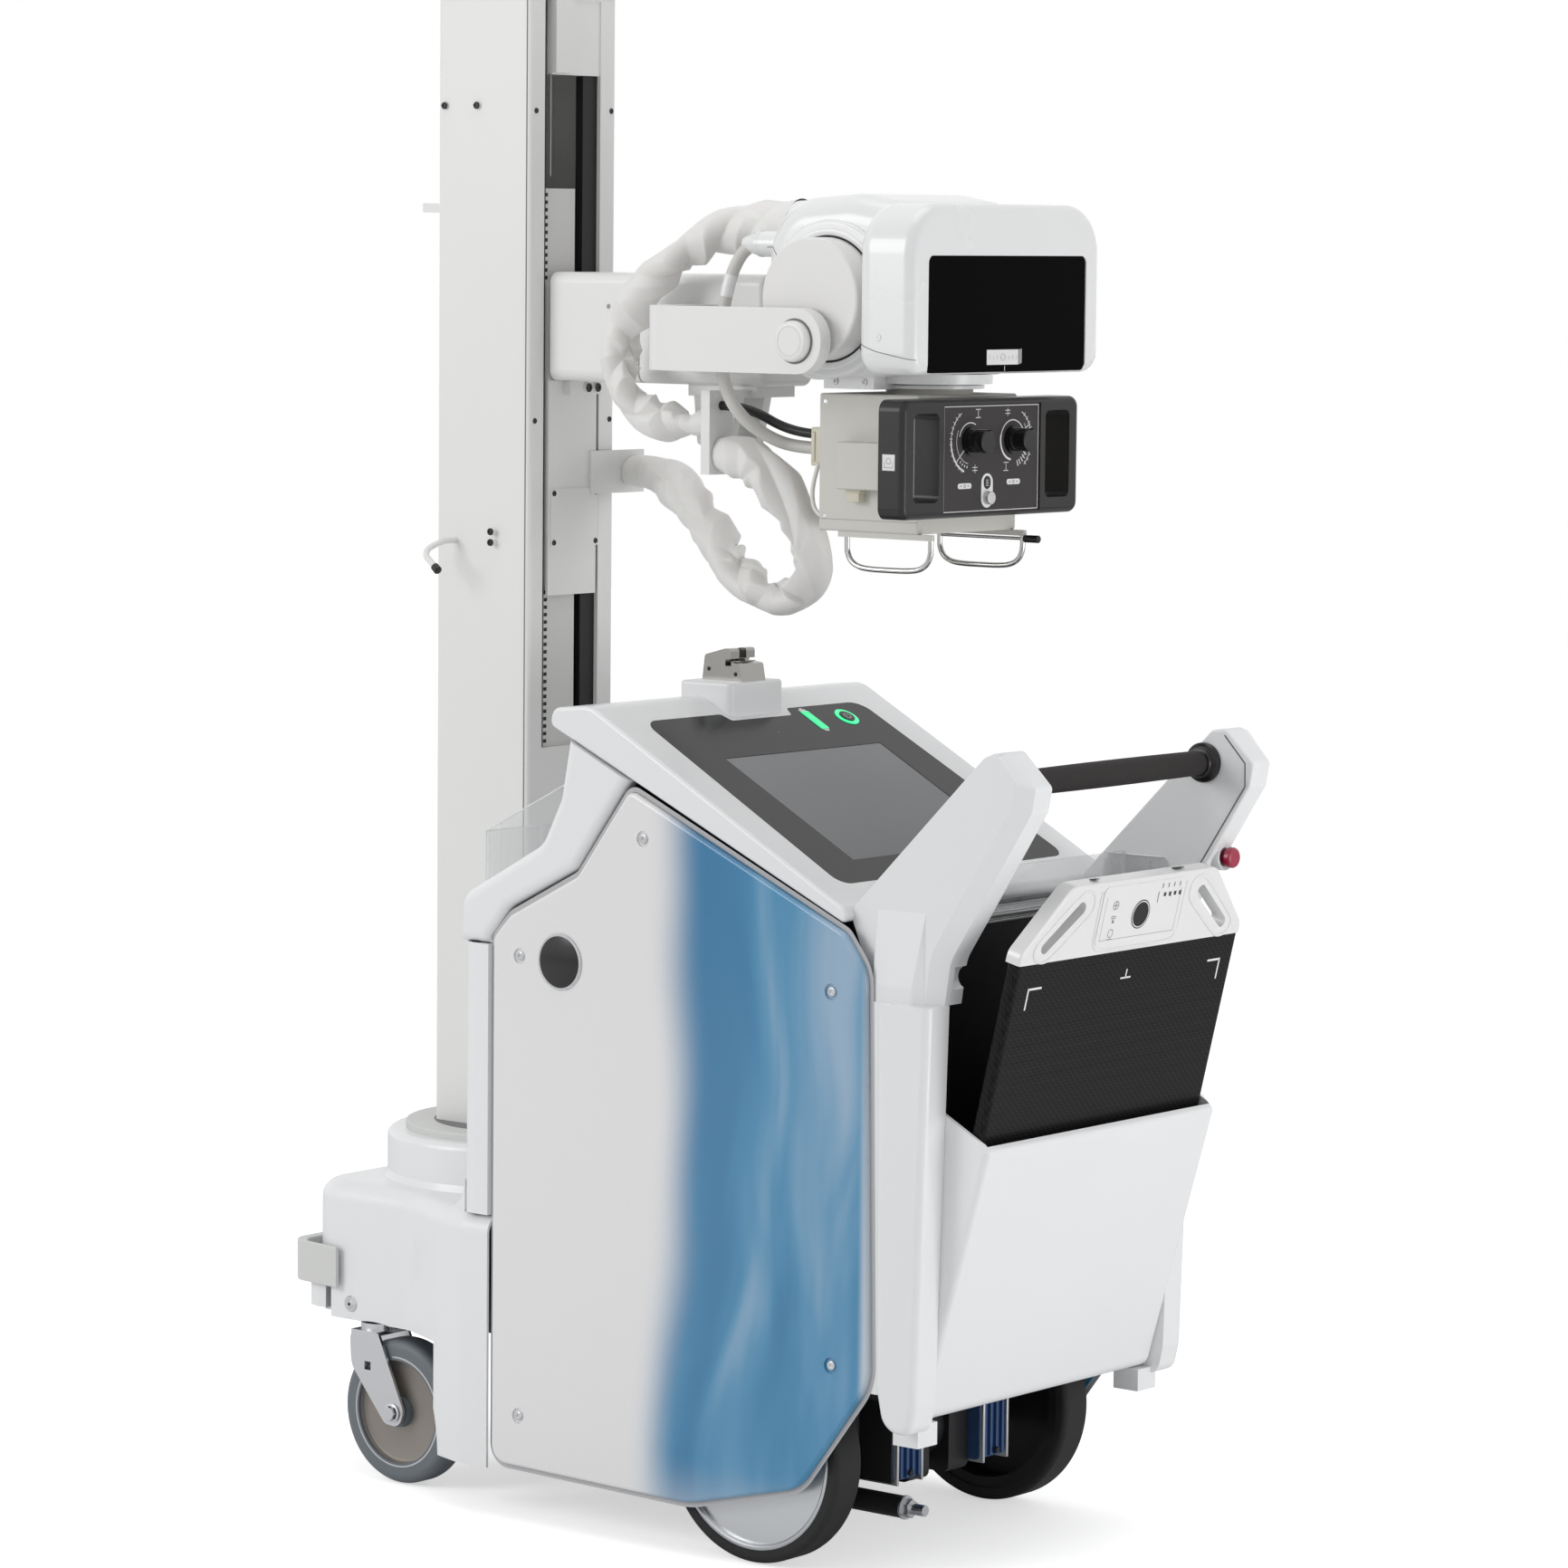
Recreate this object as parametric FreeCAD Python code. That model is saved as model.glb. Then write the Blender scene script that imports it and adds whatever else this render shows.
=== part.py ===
import FreeCAD, Part
import math
import os

# Mobile x-ray machine. Millimetres, +X to the operator, +Z up, floor at z 0.

os.makedirs("parts", exist_ok=True)

# Overall driving sizes
GAP = 0.4
COVER_WALL = 4.0
BODY_HALF = 278.0
PANEL_THICK = 8.0
PANEL_BACK = BODY_HALF - PANEL_THICK
CONSOLE_HALF = BODY_HALF - 4.0
BODY_FRONT = -265.0
BODY_LOW = 66.0
SEAM_Z = 733.0

# Column and carriage
COL_X = -402.0
COL_DEEP = 162.0
COL_WIDE = 168.0
COL_WALL = 6.0
COLLAR_LOW = 448.0
COL_LOW = COLLAR_LOW + 10.0 + GAP
COL_TOP = 1936.0
SLOT_NEAR = -57.0
SLOT_FAR = 52.0
RAIL_IN = 24.0
STRIP_IN = -48.0
COL_FACE = COL_X + COL_DEEP / 2
COL_BACK = COL_X - COL_DEEP / 2

# Arm, yoke and tilt axis
ARM_Z = 1507.0
ARM_TALL = 140.0
ARM_HALF = 52.0
ARM_START = COL_FACE + 3.0
ARM_SEAM = -165.0
YOKE_START = -162.0
YOKE_END = 40.0
TUBE_HALF = 17.0
TUBE_TALL = 70.0
TUBE_BACK = -440.0
SPIGOT_R = 28.0
SPIGOT_END = -70.0
TILT_X = 210.0
TILT_Z = 1499.0
FORK_HALF_TALL = 40.0
FORK_OUT = 198.0
FORK_IN = 178.0
PIN_R = 14.0
CAP_R = 25.0

# Head and collimator
DISC_R = 75.0
DISC_Z = 1550.0
HEAD_HALF = 128.0
DISC_FACE = 171.0
HEAD_REAR = 95.0
HEAD_TOP = 1675.0
HEAD_LOW = 1457.0
HOOD_HALF = 192.0
HOOD_BACK = 296.0
HOOD_FACE = 385.0
BEAM_X = 265.0
COLLAR_END = 106.0
FLANGE_R = 92.0
SWIVEL_R = 60.0
COLL_TOP = 1438.0
COLL_LOW = 1265.0
COLL_HALF = 100.0
COLL_REAR = 171.0
BEZEL_BACK = 326.0
BEZEL_FACE = 364.0
BEZEL_HALF = 179.0
BEZEL_LOW = 1286.0
BEZEL_TOP = 1431.0
KNOB_Y = 43.0
KNOB_Z = 1379.0
KNOB_R = 14.0
LIGHT_Y = -8.0
LIGHT_Z = 1309.0
LIGHT_R = 8.0
KNOB_SHAFT_R = 4.0

# Wheels
WHEEL_X = 207.0
WHEEL_Y = BODY_HALF - 44.0
WHEEL_R = 137.0
WHEEL_WIDE = 50.0
CORE_HALF = WHEEL_Y - WHEEL_WIDE / 2 - 13.0
RIM_R = 121.0
AXLE_R = 12.0
CASTER_X = -471.0
CASTER_Y = 202.0
CASTER_TRAIL = 52.0
CASTER_R = 95.0
CASTER_WIDE = 44.0
CASTER_RIM_R = 68.0
CASTER_AXLE_R = 6.0
CASTER_TOP = 206.0 - GAP
NOSE_HALF = 222.0
BUMPER_Y = 150.0
BUMPER_Z = 273.0
BUMPER_R = 7.0
BUMPER_FRONT = -615.75

# Console, handle, bin and detector
SLOPE_X = -12.0
SLOPE_Z = 1022.0
SLOPE_LONG = 372.0
SLOPE_DEG = 28.35
SCREEN_FROM = 94.0
SCREEN_LONG = 233.0
SCREEN_HALF = 156.0
POWER_S = 32.0
POWER_Y = 155.0
POWER_R = 11.0
BAR_X = 542.0
BAR_Z = 981.0
BAR_R = 16.5
HANDLE_THICK = 50.0
HANDLE_OUT = BODY_HALF - 20.0
HANDLE_IN = HANDLE_OUT - HANDLE_THICK
DET_LEAN = 13.4
DET_X = 605.0
DET_Z = 860.0
DET_LONG = 430.0
DET_HANDLE = 92.0
DET_HALF = 228.0
DET_THICK = 19.0
SHELF_TOP = 442.2
POST_IN = DET_HALF + 8.0
ARM_LOW_X = 533.0
ARM_LOW_Z = 831.0
ARM_HIGH_X = 611.0
ARM_HIGH_Z = 955.0
STOP_Z = 862.0
STOP_X = ARM_LOW_X + (STOP_Z - ARM_LOW_Z) * (ARM_HIGH_X - ARM_LOW_X) / (ARM_HIGH_Z - ARM_LOW_Z) - 0.5
STOP_Y = HANDLE_OUT - HANDLE_THICK / 2
STOP_R = 13.0

UP = FreeCAD.Vector(0, 0, 1)
ALONG_X = FreeCAD.Vector(1, 0, 0)
ALONG_Y = FreeCAD.Vector(0, 1, 0)


def vec(x, y, z):
    return FreeCAD.Vector(x, y, z)


def box(x0, x1, y0, y1, z0, z1):
    return Part.makeBox(x1 - x0, y1 - y0, z1 - z0, vec(x0, y0, z0))


def rod(start, way, radius, length):
    return Part.makeCylinder(radius, length, start, way)


def join(first, *others):
    return first.fuse(list(others)).removeSplitter()


def flip(shape):
    return shape.mirror(vec(0, 0, 0), ALONG_Y)


def both(shape):
    return join(shape, flip(shape))


def outline(points, place):
    """Closed wire through (a, b, radius) corners, each corner rounded."""
    starts = []
    count = len(points)
    for i in range(count):
        a, b, radius = points[i]
        here = vec(a, b, 0)
        back = vec(points[i - 1][0], points[i - 1][1], 0) - here
        ahead = vec(points[(i + 1) % count][0], points[(i + 1) % count][1], 0) - here
        back.normalize()
        ahead.normalize()
        if radius == 0:
            starts.append((here, None, here))
            continue
        half = back.getAngle(ahead) / 2
        cut = radius / math.tan(half)
        middle = back + ahead
        middle.normalize()
        bulge = here + middle * (radius / math.sin(half) - radius)
        starts.append((here + back * cut, bulge, here + ahead * cut))
    edges = []
    for i in range(count):
        first, bulge, last = starts[i]
        following = starts[(i + 1) % count][0]
        if bulge is not None:
            edges.append(Part.Arc(place(first), place(bulge), place(last)).toShape())
        if (following - last).Length > 1e-6:
            edges.append(Part.makeLine(place(last), place(following)))
    return Part.Face(Part.Wire(edges))


def side_slab(points, y0, y1):
    """Side view outline (x, z, radius) carried from y0 to y1."""
    face = outline(points, lambda p: vec(p.x, y0, p.y))
    return face.extrude(vec(0, y1 - y0, 0))


def plan_slab(points, z0, z1):
    """Plan outline (x, y, radius) carried from z0 to z1."""
    face = outline(points, lambda p: vec(p.x, p.y, z0))
    return face.extrude(vec(0, 0, z1 - z0))


def front_slab(points, x0, x1):
    """Front view outline (y, z, radius) carried from x0 to x1."""
    face = outline(points, lambda p: vec(x0, p.x, p.y))
    return face.extrude(vec(x1 - x0, 0, 0))


def soften(shape, radius, pick):
    edges = [edge for edge in shape.Edges if pick(edge)]
    return shape.makeFillet(radius, edges)


def in_plane_y(edge, *levels):
    box_of = edge.BoundBox
    flat = box_of.YLength < 0.01
    return flat and any(abs(box_of.YMin - level) < 0.01 for level in levels)


def in_plane_x(edge, *levels):
    box_of = edge.BoundBox
    flat = box_of.XLength < 0.01
    return flat and any(abs(box_of.XMin - level) < 0.01 for level in levels)


def in_plane_z(edge, *levels):
    box_of = edge.BoundBox
    flat = box_of.ZLength < 0.01
    return flat and any(abs(box_of.ZMin - level) < 0.01 for level in levels)


def tube_path(points, radius):
    """Round cord along straight runs joined by tangent arcs."""
    spots = [vec(*p) for p in points]
    pieces = []
    start = spots[0]
    for i in range(1, len(spots) - 1):
        back = spots[i - 1] - spots[i]
        ahead = spots[i + 1] - spots[i]
        run = min(back.Length, ahead.Length)
        back.normalize()
        ahead.normalize()
        turn = math.pi - back.getAngle(ahead)
        cut = 0.45 * run
        bend = cut / math.tan(turn / 2)
        print("cord bend radius", round(bend, 1), "cord radius", radius)
        first = spots[i] + back * cut
        last = spots[i] + ahead * cut
        middle = back + ahead
        middle.normalize()
        bulge = spots[i] + middle * (bend / math.cos(turn / 2) - bend)
        pieces.append(Part.makeLine(start, first))
        pieces.append(Part.Arc(first, bulge, last).toShape())
        start = last
    pieces.append(Part.makeLine(start, spots[-1]))
    path = Part.Wire(pieces)
    ring = Part.Wire([Part.makeCircle(radius, spots[0], spots[1] - spots[0])])
    solid = path.makePipeShell([ring], True, False)
    length = sum(piece.Length for piece in pieces)
    print("cord length", round(length, 1), "volume ratio",
          round(solid.Volume / (math.pi * radius * radius * length), 4))
    return solid


# Base of the cart

STANDOFFS = ((-160, 722), (42, 885), (341, 723), (346, 268), (-159, 135))


def chassis_frame():
    rail = box(-552, 380, 118, 168, 206, 240)
    plate = box(CASTER_X - 55, CASTER_X + 55, CASTER_Y - 50, CASTER_Y + 12, 206, 214)
    arm = box(CASTER_X - 20, CASTER_X + 20, 118, CASTER_Y - 30, 206, 240)
    bracket = box(WHEEL_X - 60, WHEEL_X + 60, 120, 160, 90, 210)
    stub = rod(vec(WHEEL_X, 150, WHEEL_R), ALONG_Y, AXLE_R, WHEEL_Y + 14 - 150)
    frame = both(join(rail, plate, arm, bracket, stub))
    cross = [box(x, x + 40, -120, 120, 206, 240) for x in (-552, -300, -60, 340)]
    floor = box(-250, 380, -120, 120, 200, 206)
    post = rod(vec(COL_X, 0, 240), UP, 70, COLLAR_LOW - 240)
    foot = box(COL_X - 100, COL_X + 100, -120, 120, 206, 240)
    return join(frame, floor, foot, post, *cross)


def power_box():
    lower = box(-196, 396, -CORE_HALF, CORE_HALF, 240, 700)
    upper = side_slab([(-196, 700, 0), (-196, 738, 10), (-70, 806, 10), (-10, 1009.8, 0),
                       (322, 829.9, 0), (396, 740, 0), (396, 700, 0)],
                      -CORE_HALF, CORE_HALF)
    inside = side_slab([(-182, 254, 0), (-182, 730, 0), (-62, 796, 0), (-10, 992, 0),
                        (314, 816, 0), (382, 733, 0), (382, 254, 0)],
                       14 - CORE_HALF, CORE_HALF - 14)
    core = join(lower, upper).cut(inside)
    start = CORE_HALF - 6
    posts = [rod(vec(x, start, z), ALONG_Y, 9, PANEL_BACK - start) for x, z in STANDOFFS[:4]]
    low = box(-196, -130, 118, PANEL_BACK, 112, 158)
    hang = box(-196, -130, 118, CORE_HALF, 150, 206)
    return join(core, *posts, *[flip(p) for p in posts], low, hang, flip(low), flip(hang))


NOSE_PLAN = [(-590, -NOSE_HALF, 62), (-400, -NOSE_HALF, 80), (-312, 16 - BODY_HALF, 60),
             (-262, -BODY_HALF, 30), (-213, -BODY_HALF, 0), (-213, BODY_HALF, 0), (-262, BODY_HALF, 30),
             (-312, BODY_HALF - 16, 60), (-400, NOSE_HALF, 80), (-590, NOSE_HALF, 62)]
NOSE_BLEND = 40.0


def shrunk(points, by):
    middle_x = -400
    moved = []
    for x, y, radius in points:
        step_x = by if x < middle_x else 0
        step_y = by if y < 0 else -by
        moved.append((x + step_x, y + step_y, max(radius - by, 0)))
    return moved


def nose_cover():
    outer = plan_slab(NOSE_PLAN, 60, 385)
    outer = soften(outer, 24, lambda e: in_plane_z(e, 385) and not in_plane_x(e, -213))
    inner = plan_slab(shrunk(NOSE_PLAN, COVER_WALL), 50, 385 - COVER_WALL)
    inner = soften(inner, 24 - COVER_WALL, lambda e: in_plane_z(e, 385 - COVER_WALL)
                   and not in_plane_x(e, -213))
    boss = rod(vec(COL_X, 0, 380), UP, 178, 68)
    boss = soften(boss, 10, lambda e: in_plane_z(e, 448))
    bore = rod(vec(COL_X, 0, 300), UP, 150, 200)
    flare = Part.makeCone(184, 178, 12, vec(COL_X, 0, 382), UP)
    foot = box(BODY_FRONT - NOSE_BLEND, BODY_FRONT, -BODY_HALF, BODY_HALF, 380, 385 + NOSE_BLEND)
    foot = foot.cut(rod(vec(BODY_FRONT - NOSE_BLEND, -BODY_HALF, 385 + NOSE_BLEND), ALONG_Y, NOSE_BLEND,
                        2 * BODY_HALF))
    foot = foot.common(plan_slab(shrunk(NOSE_PLAN, 14), 380, 385 + NOSE_BLEND))
    shell = join(outer, boss, flare, foot).cut(inner)
    shell = shell.cut(rod(vec(COL_X, 0, 300), UP, 172, 142)).cut(bore)
    front_cut = box(-700, -462, -400, 400, 0, 206)
    arch = rod(vec(-462, -400, 58), ALONG_Y, 150, 800)
    high = box(BODY_FRONT, 0, -400, 400, 386, 600)
    keep = box(-700, -213, -400, 400, 0, 700)
    shell = shell.cut(front_cut).cut(arch).cut(high).common(keep)
    sweep = rod(vec(CASTER_X, -CASTER_Y, 0), UP, 156, CASTER_TOP)
    shell = shell.cut(sweep).cut(flip(sweep))
    shell = shell.cut(box(-605, -540, -BODY_HALF, BODY_HALF, 0, 245))
    for y in (-BUMPER_Y, BUMPER_Y):
        shell = shell.cut(rod(vec(-605, y, BUMPER_Z), ALONG_X, BUMPER_R + 2, 40))
    return max(shell.Solids, key=lambda s: s.Volume)


def nose_block():
    half = NOSE_HALF - 8
    bar = plan_slab([(-600, -half, 30), (-556, -half, 0), (-556, half, 0), (-600, half, 30)], 214, 245)
    back = box(-580, -556, -190, 190, 206, 214)
    return join(bar, back)


def front_bumper():
    back = BUMPER_FRONT + 17
    front = NOSE_HALF - 2
    rear = NOSE_HALF + 11
    plan = [(BUMPER_FRONT, -front, 30), (-520, -rear, 0), (-520, 5.5 - rear, 0), (back, 4 - front, 26),
            (back, front - 4, 26), (-520, rear - 5.5, 0), (-520, rear, 0), (BUMPER_FRONT, front, 30)]
    strip = plan_slab(plan, 247, 301)
    strip = soften(strip, 2.2, lambda e: in_plane_z(e, 247, 301) and not in_plane_x(e, -520))
    lugs = [rod(vec(back - 2, y, BUMPER_Z), ALONG_X, BUMPER_R, 43) for y in (-BUMPER_Y, BUMPER_Y)]
    return join(strip, *lugs)


def bumper_seats():
    post = box(-578, -552, BUMPER_Y - 14, BUMPER_Y + 14, 246, 290)
    foot = box(-554, -540, BUMPER_Y - 14, BUMPER_Y + 14, 238, 290)
    bore = rod(vec(-600, BUMPER_Y, BUMPER_Z), ALONG_X, BUMPER_R + GAP, 54)
    return both(join(post, foot).cut(bore))


def column_collar():
    ring = rod(vec(COL_X, 0, COLLAR_LOW), UP, 154, 10)
    ring = soften(ring, 2, lambda e: in_plane_z(e, COLLAR_LOW + 10))
    inside = rod(vec(COL_X, 0, COLLAR_LOW - 5), UP, 60, 20)
    behind = box(BODY_FRONT - GAP, 0, -200, 200, COLLAR_LOW - 5, COLLAR_LOW + 20)
    return ring.cut(inside).cut(behind)


BAND = [(-265, SEAM_Z, 0), (-262, 792, 30), (-128, 866, 40), (-98, 925, 30), (-84, 1000, 0),
        (-60, 989, 0), (15, 955, 0), (-70, 838, 25), (-180, 782, 30), (-213, 742, 12),
        (-213, SEAM_Z, 0)]


def body_cover():
    plan = [(BODY_FRONT, -BODY_HALF, 30), (-213, -BODY_HALF, 0), (-213, BODY_HALF, 0),
            (BODY_FRONT, BODY_HALF, 30)]
    outer = plan_slab(plan, 325, SEAM_Z - 0.6)
    inside = BODY_HALF - COVER_WALL
    inner = plan_slab([(BODY_FRONT + COVER_WALL, -inside, 26), (-100, -inside, 0), (-100, inside, 0),
                       (BODY_FRONT + COVER_WALL, inside, 26)], 300, 800)
    ledge = both(box(-217, -198, PANEL_BACK - 4, PANEL_BACK, 330, SEAM_Z - 1))
    ties = both(box(-236, -213, PANEL_BACK - 4, inside + 1, 330, SEAM_Z - 1))
    shell = outer.cut(inner)
    shell = join(shell, ledge, ties)
    nose = plan_slab(NOSE_PLAN, 0, 386)
    return max(shell.cut(nose).Solids, key=lambda s: s.Volume)


def upper_cover():
    outer = side_slab(BAND, -BODY_HALF, BODY_HALF)
    outer = soften(outer, 14, lambda e: in_plane_y(e, -BODY_HALF, BODY_HALF)
                   and outer_band(e))
    hollow = side_slab([(-258, SEAM_Z - 9, 0), (-256, 788, 26), (-124, 858, 34), (-92, 922, 24),
                        (-78, 1010, 0), (60, 1010, 0), (60, 700, 0), (-258, 700, 0)],
                       -BODY_HALF + 22, BODY_HALF - 22)
    return outer.cut(hollow)


def outer_band(edge):
    middle = edge.BoundBox.Center
    return middle.x < -84 and middle.z - 0.62 * middle.x > 860 and edge.Length > 5


def column_guard():
    floor_line = [(-244, 802.6, 0), (-142, 858.9, 0), (-118, 890, 0), (-104, 925, 0), (-104, 944, 4),
                  (-244, 872, 4)]
    half = BODY_HALF - 29
    pane = side_slab(floor_line, half - 3, half)
    front = box(-244, -241, -half, half, 803.8, 872)
    front = front.cut(box(-300, -200, -110, 110, 845, 900))
    return join(both(pane), front)


# Console

def on_slope(shape):
    """Moves a shape drawn flat (x down the slope, z out of it) on to the console."""
    moved = shape.copy()
    moved.rotate(vec(0, 0, 0), ALONG_Y, SLOPE_DEG)
    moved.translate(vec(SLOPE_X, 0, SLOPE_Z))
    return moved


BEZEL = [(0, 58 - CONSOLE_HALF, 24), (SLOPE_LONG, 46 - CONSOLE_HALF, 20), (SLOPE_LONG, CONSOLE_HALF - 46, 20),
         (0, CONSOLE_HALF - 58, 24), (0, 66, 6), (16, 60, 6), (16, -60, 6), (0, -66, 6)]


CONSOLE_SIDE = [(-84, 1002, 30), (-116, 1016, 10), (-112, 1038, 14), (-50, 1044, 40),
                (354, 826, 10), (371, 799, 7)]


def console_frame():
    outer = side_slab(CONSOLE_SIDE, -CONSOLE_HALF, CONSOLE_HALF)
    outer = soften(outer, 5, lambda e: in_plane_y(e, -CONSOLE_HALF, CONSOLE_HALF))
    hollow = side_slab([(-90, 990, 0), (-96, 1020, 0), (-50, 1032, 10), (330, 826, 0), (350, 790, 0)],
                       12 - CONSOLE_HALF, CONSOLE_HALF - 12)
    recess = on_slope(plan_slab(BEZEL, -2, 20))
    return outer.cut(hollow).cut(recess)


def console_bezel():
    plate = on_slope(plan_slab([(a, b, r) for a, b, r in BEZEL], -2, 1.5))
    window = on_slope(box(SCREEN_FROM, SCREEN_FROM + SCREEN_LONG, -SCREEN_HALF, SCREEN_HALF, 0, 5))
    ring = on_slope(rod(vec(POWER_S, POWER_Y, -1.0), UP, POWER_R + 1.0, 10))
    return plate.cut(window).cut(ring)


def console_screen():
    return on_slope(box(SCREEN_FROM + 0.2, SCREEN_FROM + SCREEN_LONG - 0.2, -SCREEN_HALF + 0.2,
                        SCREEN_HALF - 0.2, 0, 1.0))


def power_ring():
    ring = rod(vec(POWER_S, POWER_Y, -1.0), UP, POWER_R + 6, 3.7)
    hole = rod(vec(POWER_S, POWER_Y, -2.0), UP, POWER_R + GAP, 10)
    outer = rod(vec(POWER_S, POWER_Y, -2.0), UP, POWER_R + 1.0, 3.5)
    base = rod(vec(POWER_S, POWER_Y, -1.0), UP, POWER_R + 1.0, 1.0)
    lamp = box(12, 52, 82, 96, 1.5, 2.6)
    ring = join(ring.cut(rod(vec(POWER_S, POWER_Y, -1.0), UP, POWER_R + 7, 2.5)), outer).cut(hole)
    ring = ring.common(box(-50, 400, -250, 250, -1.0, 20))
    return on_slope(Part.makeCompound([join(ring, base), lamp]))


def power_button():
    return on_slope(rod(vec(POWER_S, POWER_Y, 1.4), UP, POWER_R, 2.4))


def latch_base():
    block = box(-91, -5, -54, 54, 1008, 1062)
    block = soften(block, 9, lambda e: e.BoundBox.ZLength > 40)
    block = soften(block, 4, lambda e: in_plane_z(e, 1062))
    return block.cut(side_slab(CONSOLE_SIDE, -80, 80))


def park_latch():
    block = side_slab([(-77, 1062, 0), (-73, 1094, 4), (-40, 1103, 6), (-30, 1103, 4),
                       (-30, 1086, 3), (-16, 1084, 4), (-12, 1062, 0)], -24, 24)
    slot = box(-39, -29.5, -30, 30, 1081, 1090)
    throat = box(-44, -29.0, -7, 7, 1072, 1120)
    return block.cut(slot).cut(throat)


# Side panels

PANEL = [(-206, 70, 24), (-206, 742, 20), (-178, 772, 30), (-66, 830, 25), (19, 944, 14),
         (360, 795, 22), (393, 752, 50), (403, 250, 70), (296, 108, 60), (120, 64, 120)]


def side_panel():
    plate = side_slab(PANEL, -BODY_HALF, -PANEL_BACK)
    plate = soften(plate, 5, lambda e: in_plane_y(e, -BODY_HALF))
    badge = rod(vec(-92, -BODY_HALF + 4, 720), vec(0, -1, 0), 35, 5.5)
    badge = soften(badge, 1.2, lambda e: in_plane_y(e, -BODY_HALF - 1.5))
    plate = join(plate, badge)
    for x, z in STANDOFFS:
        dish = rod(vec(x, -BODY_HALF - 1, z), ALONG_Y, 10, 3.5)
        plate = plate.cut(dish)
    return plate


def panel_screws():
    heads = []
    for x, z in STANDOFFS:
        head = rod(vec(x, -BODY_HALF + 2.5, z), vec(0, -1, 0), 6, 2.6)
        head = soften(head, 1.5, lambda e: in_plane_y(e, -BODY_HALF - 0.1))
        socket = rod(vec(x, -BODY_HALF + 1.0, z), vec(0, -1, 0), 2, 4)
        heads.append(head.cut(socket))
    return Part.makeCompound(heads + [flip(h) for h in heads])


# Rear frame, bin and handle

POST = [(408, 716, 0), (488, 716, 0), (474, 232, 12), (466, 196, 16), (424, 196, 28), (412, 250, 30)]


def rear_frame():
    post = side_slab(POST, -BODY_HALF, -POST_IN)
    post = soften(post, 10, lambda e: in_plane_y(e, -BODY_HALF) and e.BoundBox.Center.z < 715)
    web = box(396, 412, -PANEL_BACK, -POST_IN, 240, 716)
    foot = box(418, 456, -POST_IN - 10, 28 - POST_IN, 176, 204)
    back = box(396, 404, 8 - PANEL_BACK, -CORE_HALF, 240, 716)
    tie = box(396, 404, -POST_IN - 4, POST_IN + 4, 240, 300)
    return join(both(join(post, web, foot, back)), tie)


BIN_OUT = [(416, 205, 0), (452, 205, 18), (549, 545, 8), (541, 553, 0), (478, 586, 0), (416, 586, 0)]
BIN_IN = [(404, 211, 0), (447.5, 211, 14), (543, 551, 0), (520, 620, 0), (404, 620, 0)]


def bin_front():
    half = POST_IN - 0.3
    outer = side_slab(BIN_OUT, -half, half)
    outer = soften(outer, 8, lambda e: in_plane_y(e, -half, half) and e.BoundBox.Center.x > 500
                   and e.Length > 250)
    hollow = side_slab(BIN_IN, 6 - POST_IN, POST_IN - 6)
    shell = outer.cut(hollow)
    return shell


def bin_liner():
    narrow = HANDLE_IN - GAP
    half = POST_IN - 7
    back = join(box(404, 410, -half, half, 300, 716), box(404, 410, -narrow, narrow, 716, 792))
    wall = side_slab([(410, 300, 0), (468, 300, 0), (480, 436, 0), (484, 446, 0), (506, 548, 0),
                      (480, 572, 0), (486, 716, 0), (410, 716, 0)], -half, 4 - half)
    shelf = box(410, 503, -half, half, SHELF_TOP - 6, SHELF_TOP)
    floor = box(410, 470, -half, half, 300, 304)
    ledge = box(374, 410, -narrow, narrow, 786, 792)
    return join(both(wall), back, shelf, floor, ledge)


ARM = [(396, 716, 0), (350, 820, 20), (552, 1022, 14), (574, 1025, 10), (616.4, 984, 8),
       (ARM_HIGH_X, ARM_HIGH_Z, 10), (ARM_LOW_X, ARM_LOW_Z, 60), (494, 770, 50), (486, 716, 0)]
ARM_FACE = [(396, 716, 0), (353, 820, 20), (553, 1019, 14), (572, 1021, 10), (598, 991, 8),
            (ARM_HIGH_X - 17, ARM_HIGH_Z + 10, 10), (ARM_LOW_X - 17, ARM_LOW_Z + 10, 60), (475, 776, 50),
            (468, 716, 0)]
ARM_BEVEL = 15.0


def handle_arm():
    wide = outline(ARM, lambda p: vec(p.x, ARM_BEVEL - HANDLE_OUT, p.y))
    face = outline(ARM_FACE, lambda p: vec(p.x, -HANDLE_OUT, p.y))
    skin = Part.makeLoft([wide.OuterWire, face.OuterWire], True, True)
    slab = side_slab(ARM, ARM_BEVEL - HANDLE_OUT, -HANDLE_IN)
    slab = soften(slab, 3, lambda e: in_plane_y(e, -HANDLE_IN) and e.BoundBox.Center.z > 760
                  and e.Length > 60)
    bite = rod(vec(493, -HANDLE_IN - 24, 748), ALONG_Y, 14, 30)
    root = plan_slab([(396, -HANDLE_OUT - 10, 0), (455, -HANDLE_OUT - 10, 8), (468, -HANDLE_OUT, 0),
                      (468, 1 - HANDLE_OUT, 0), (396, 1 - HANDLE_OUT, 0)], 716, 830)
    taper = front_slab([(-HANDLE_OUT - 10, 716, 0), (-HANDLE_OUT - 10, 736, 30), (-HANDLE_OUT, 826, 0),
                        (1 - HANDLE_OUT, 826, 0), (1 - HANDLE_OUT, 716, 0)], 390, 470)
    sleeve = root.common(taper)
    arm = join(slab, skin, sleeve).cut(bite)
    return arm.cut(side_slab(CONSOLE_SIDE, -BODY_HALF - 30, 0))


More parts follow.
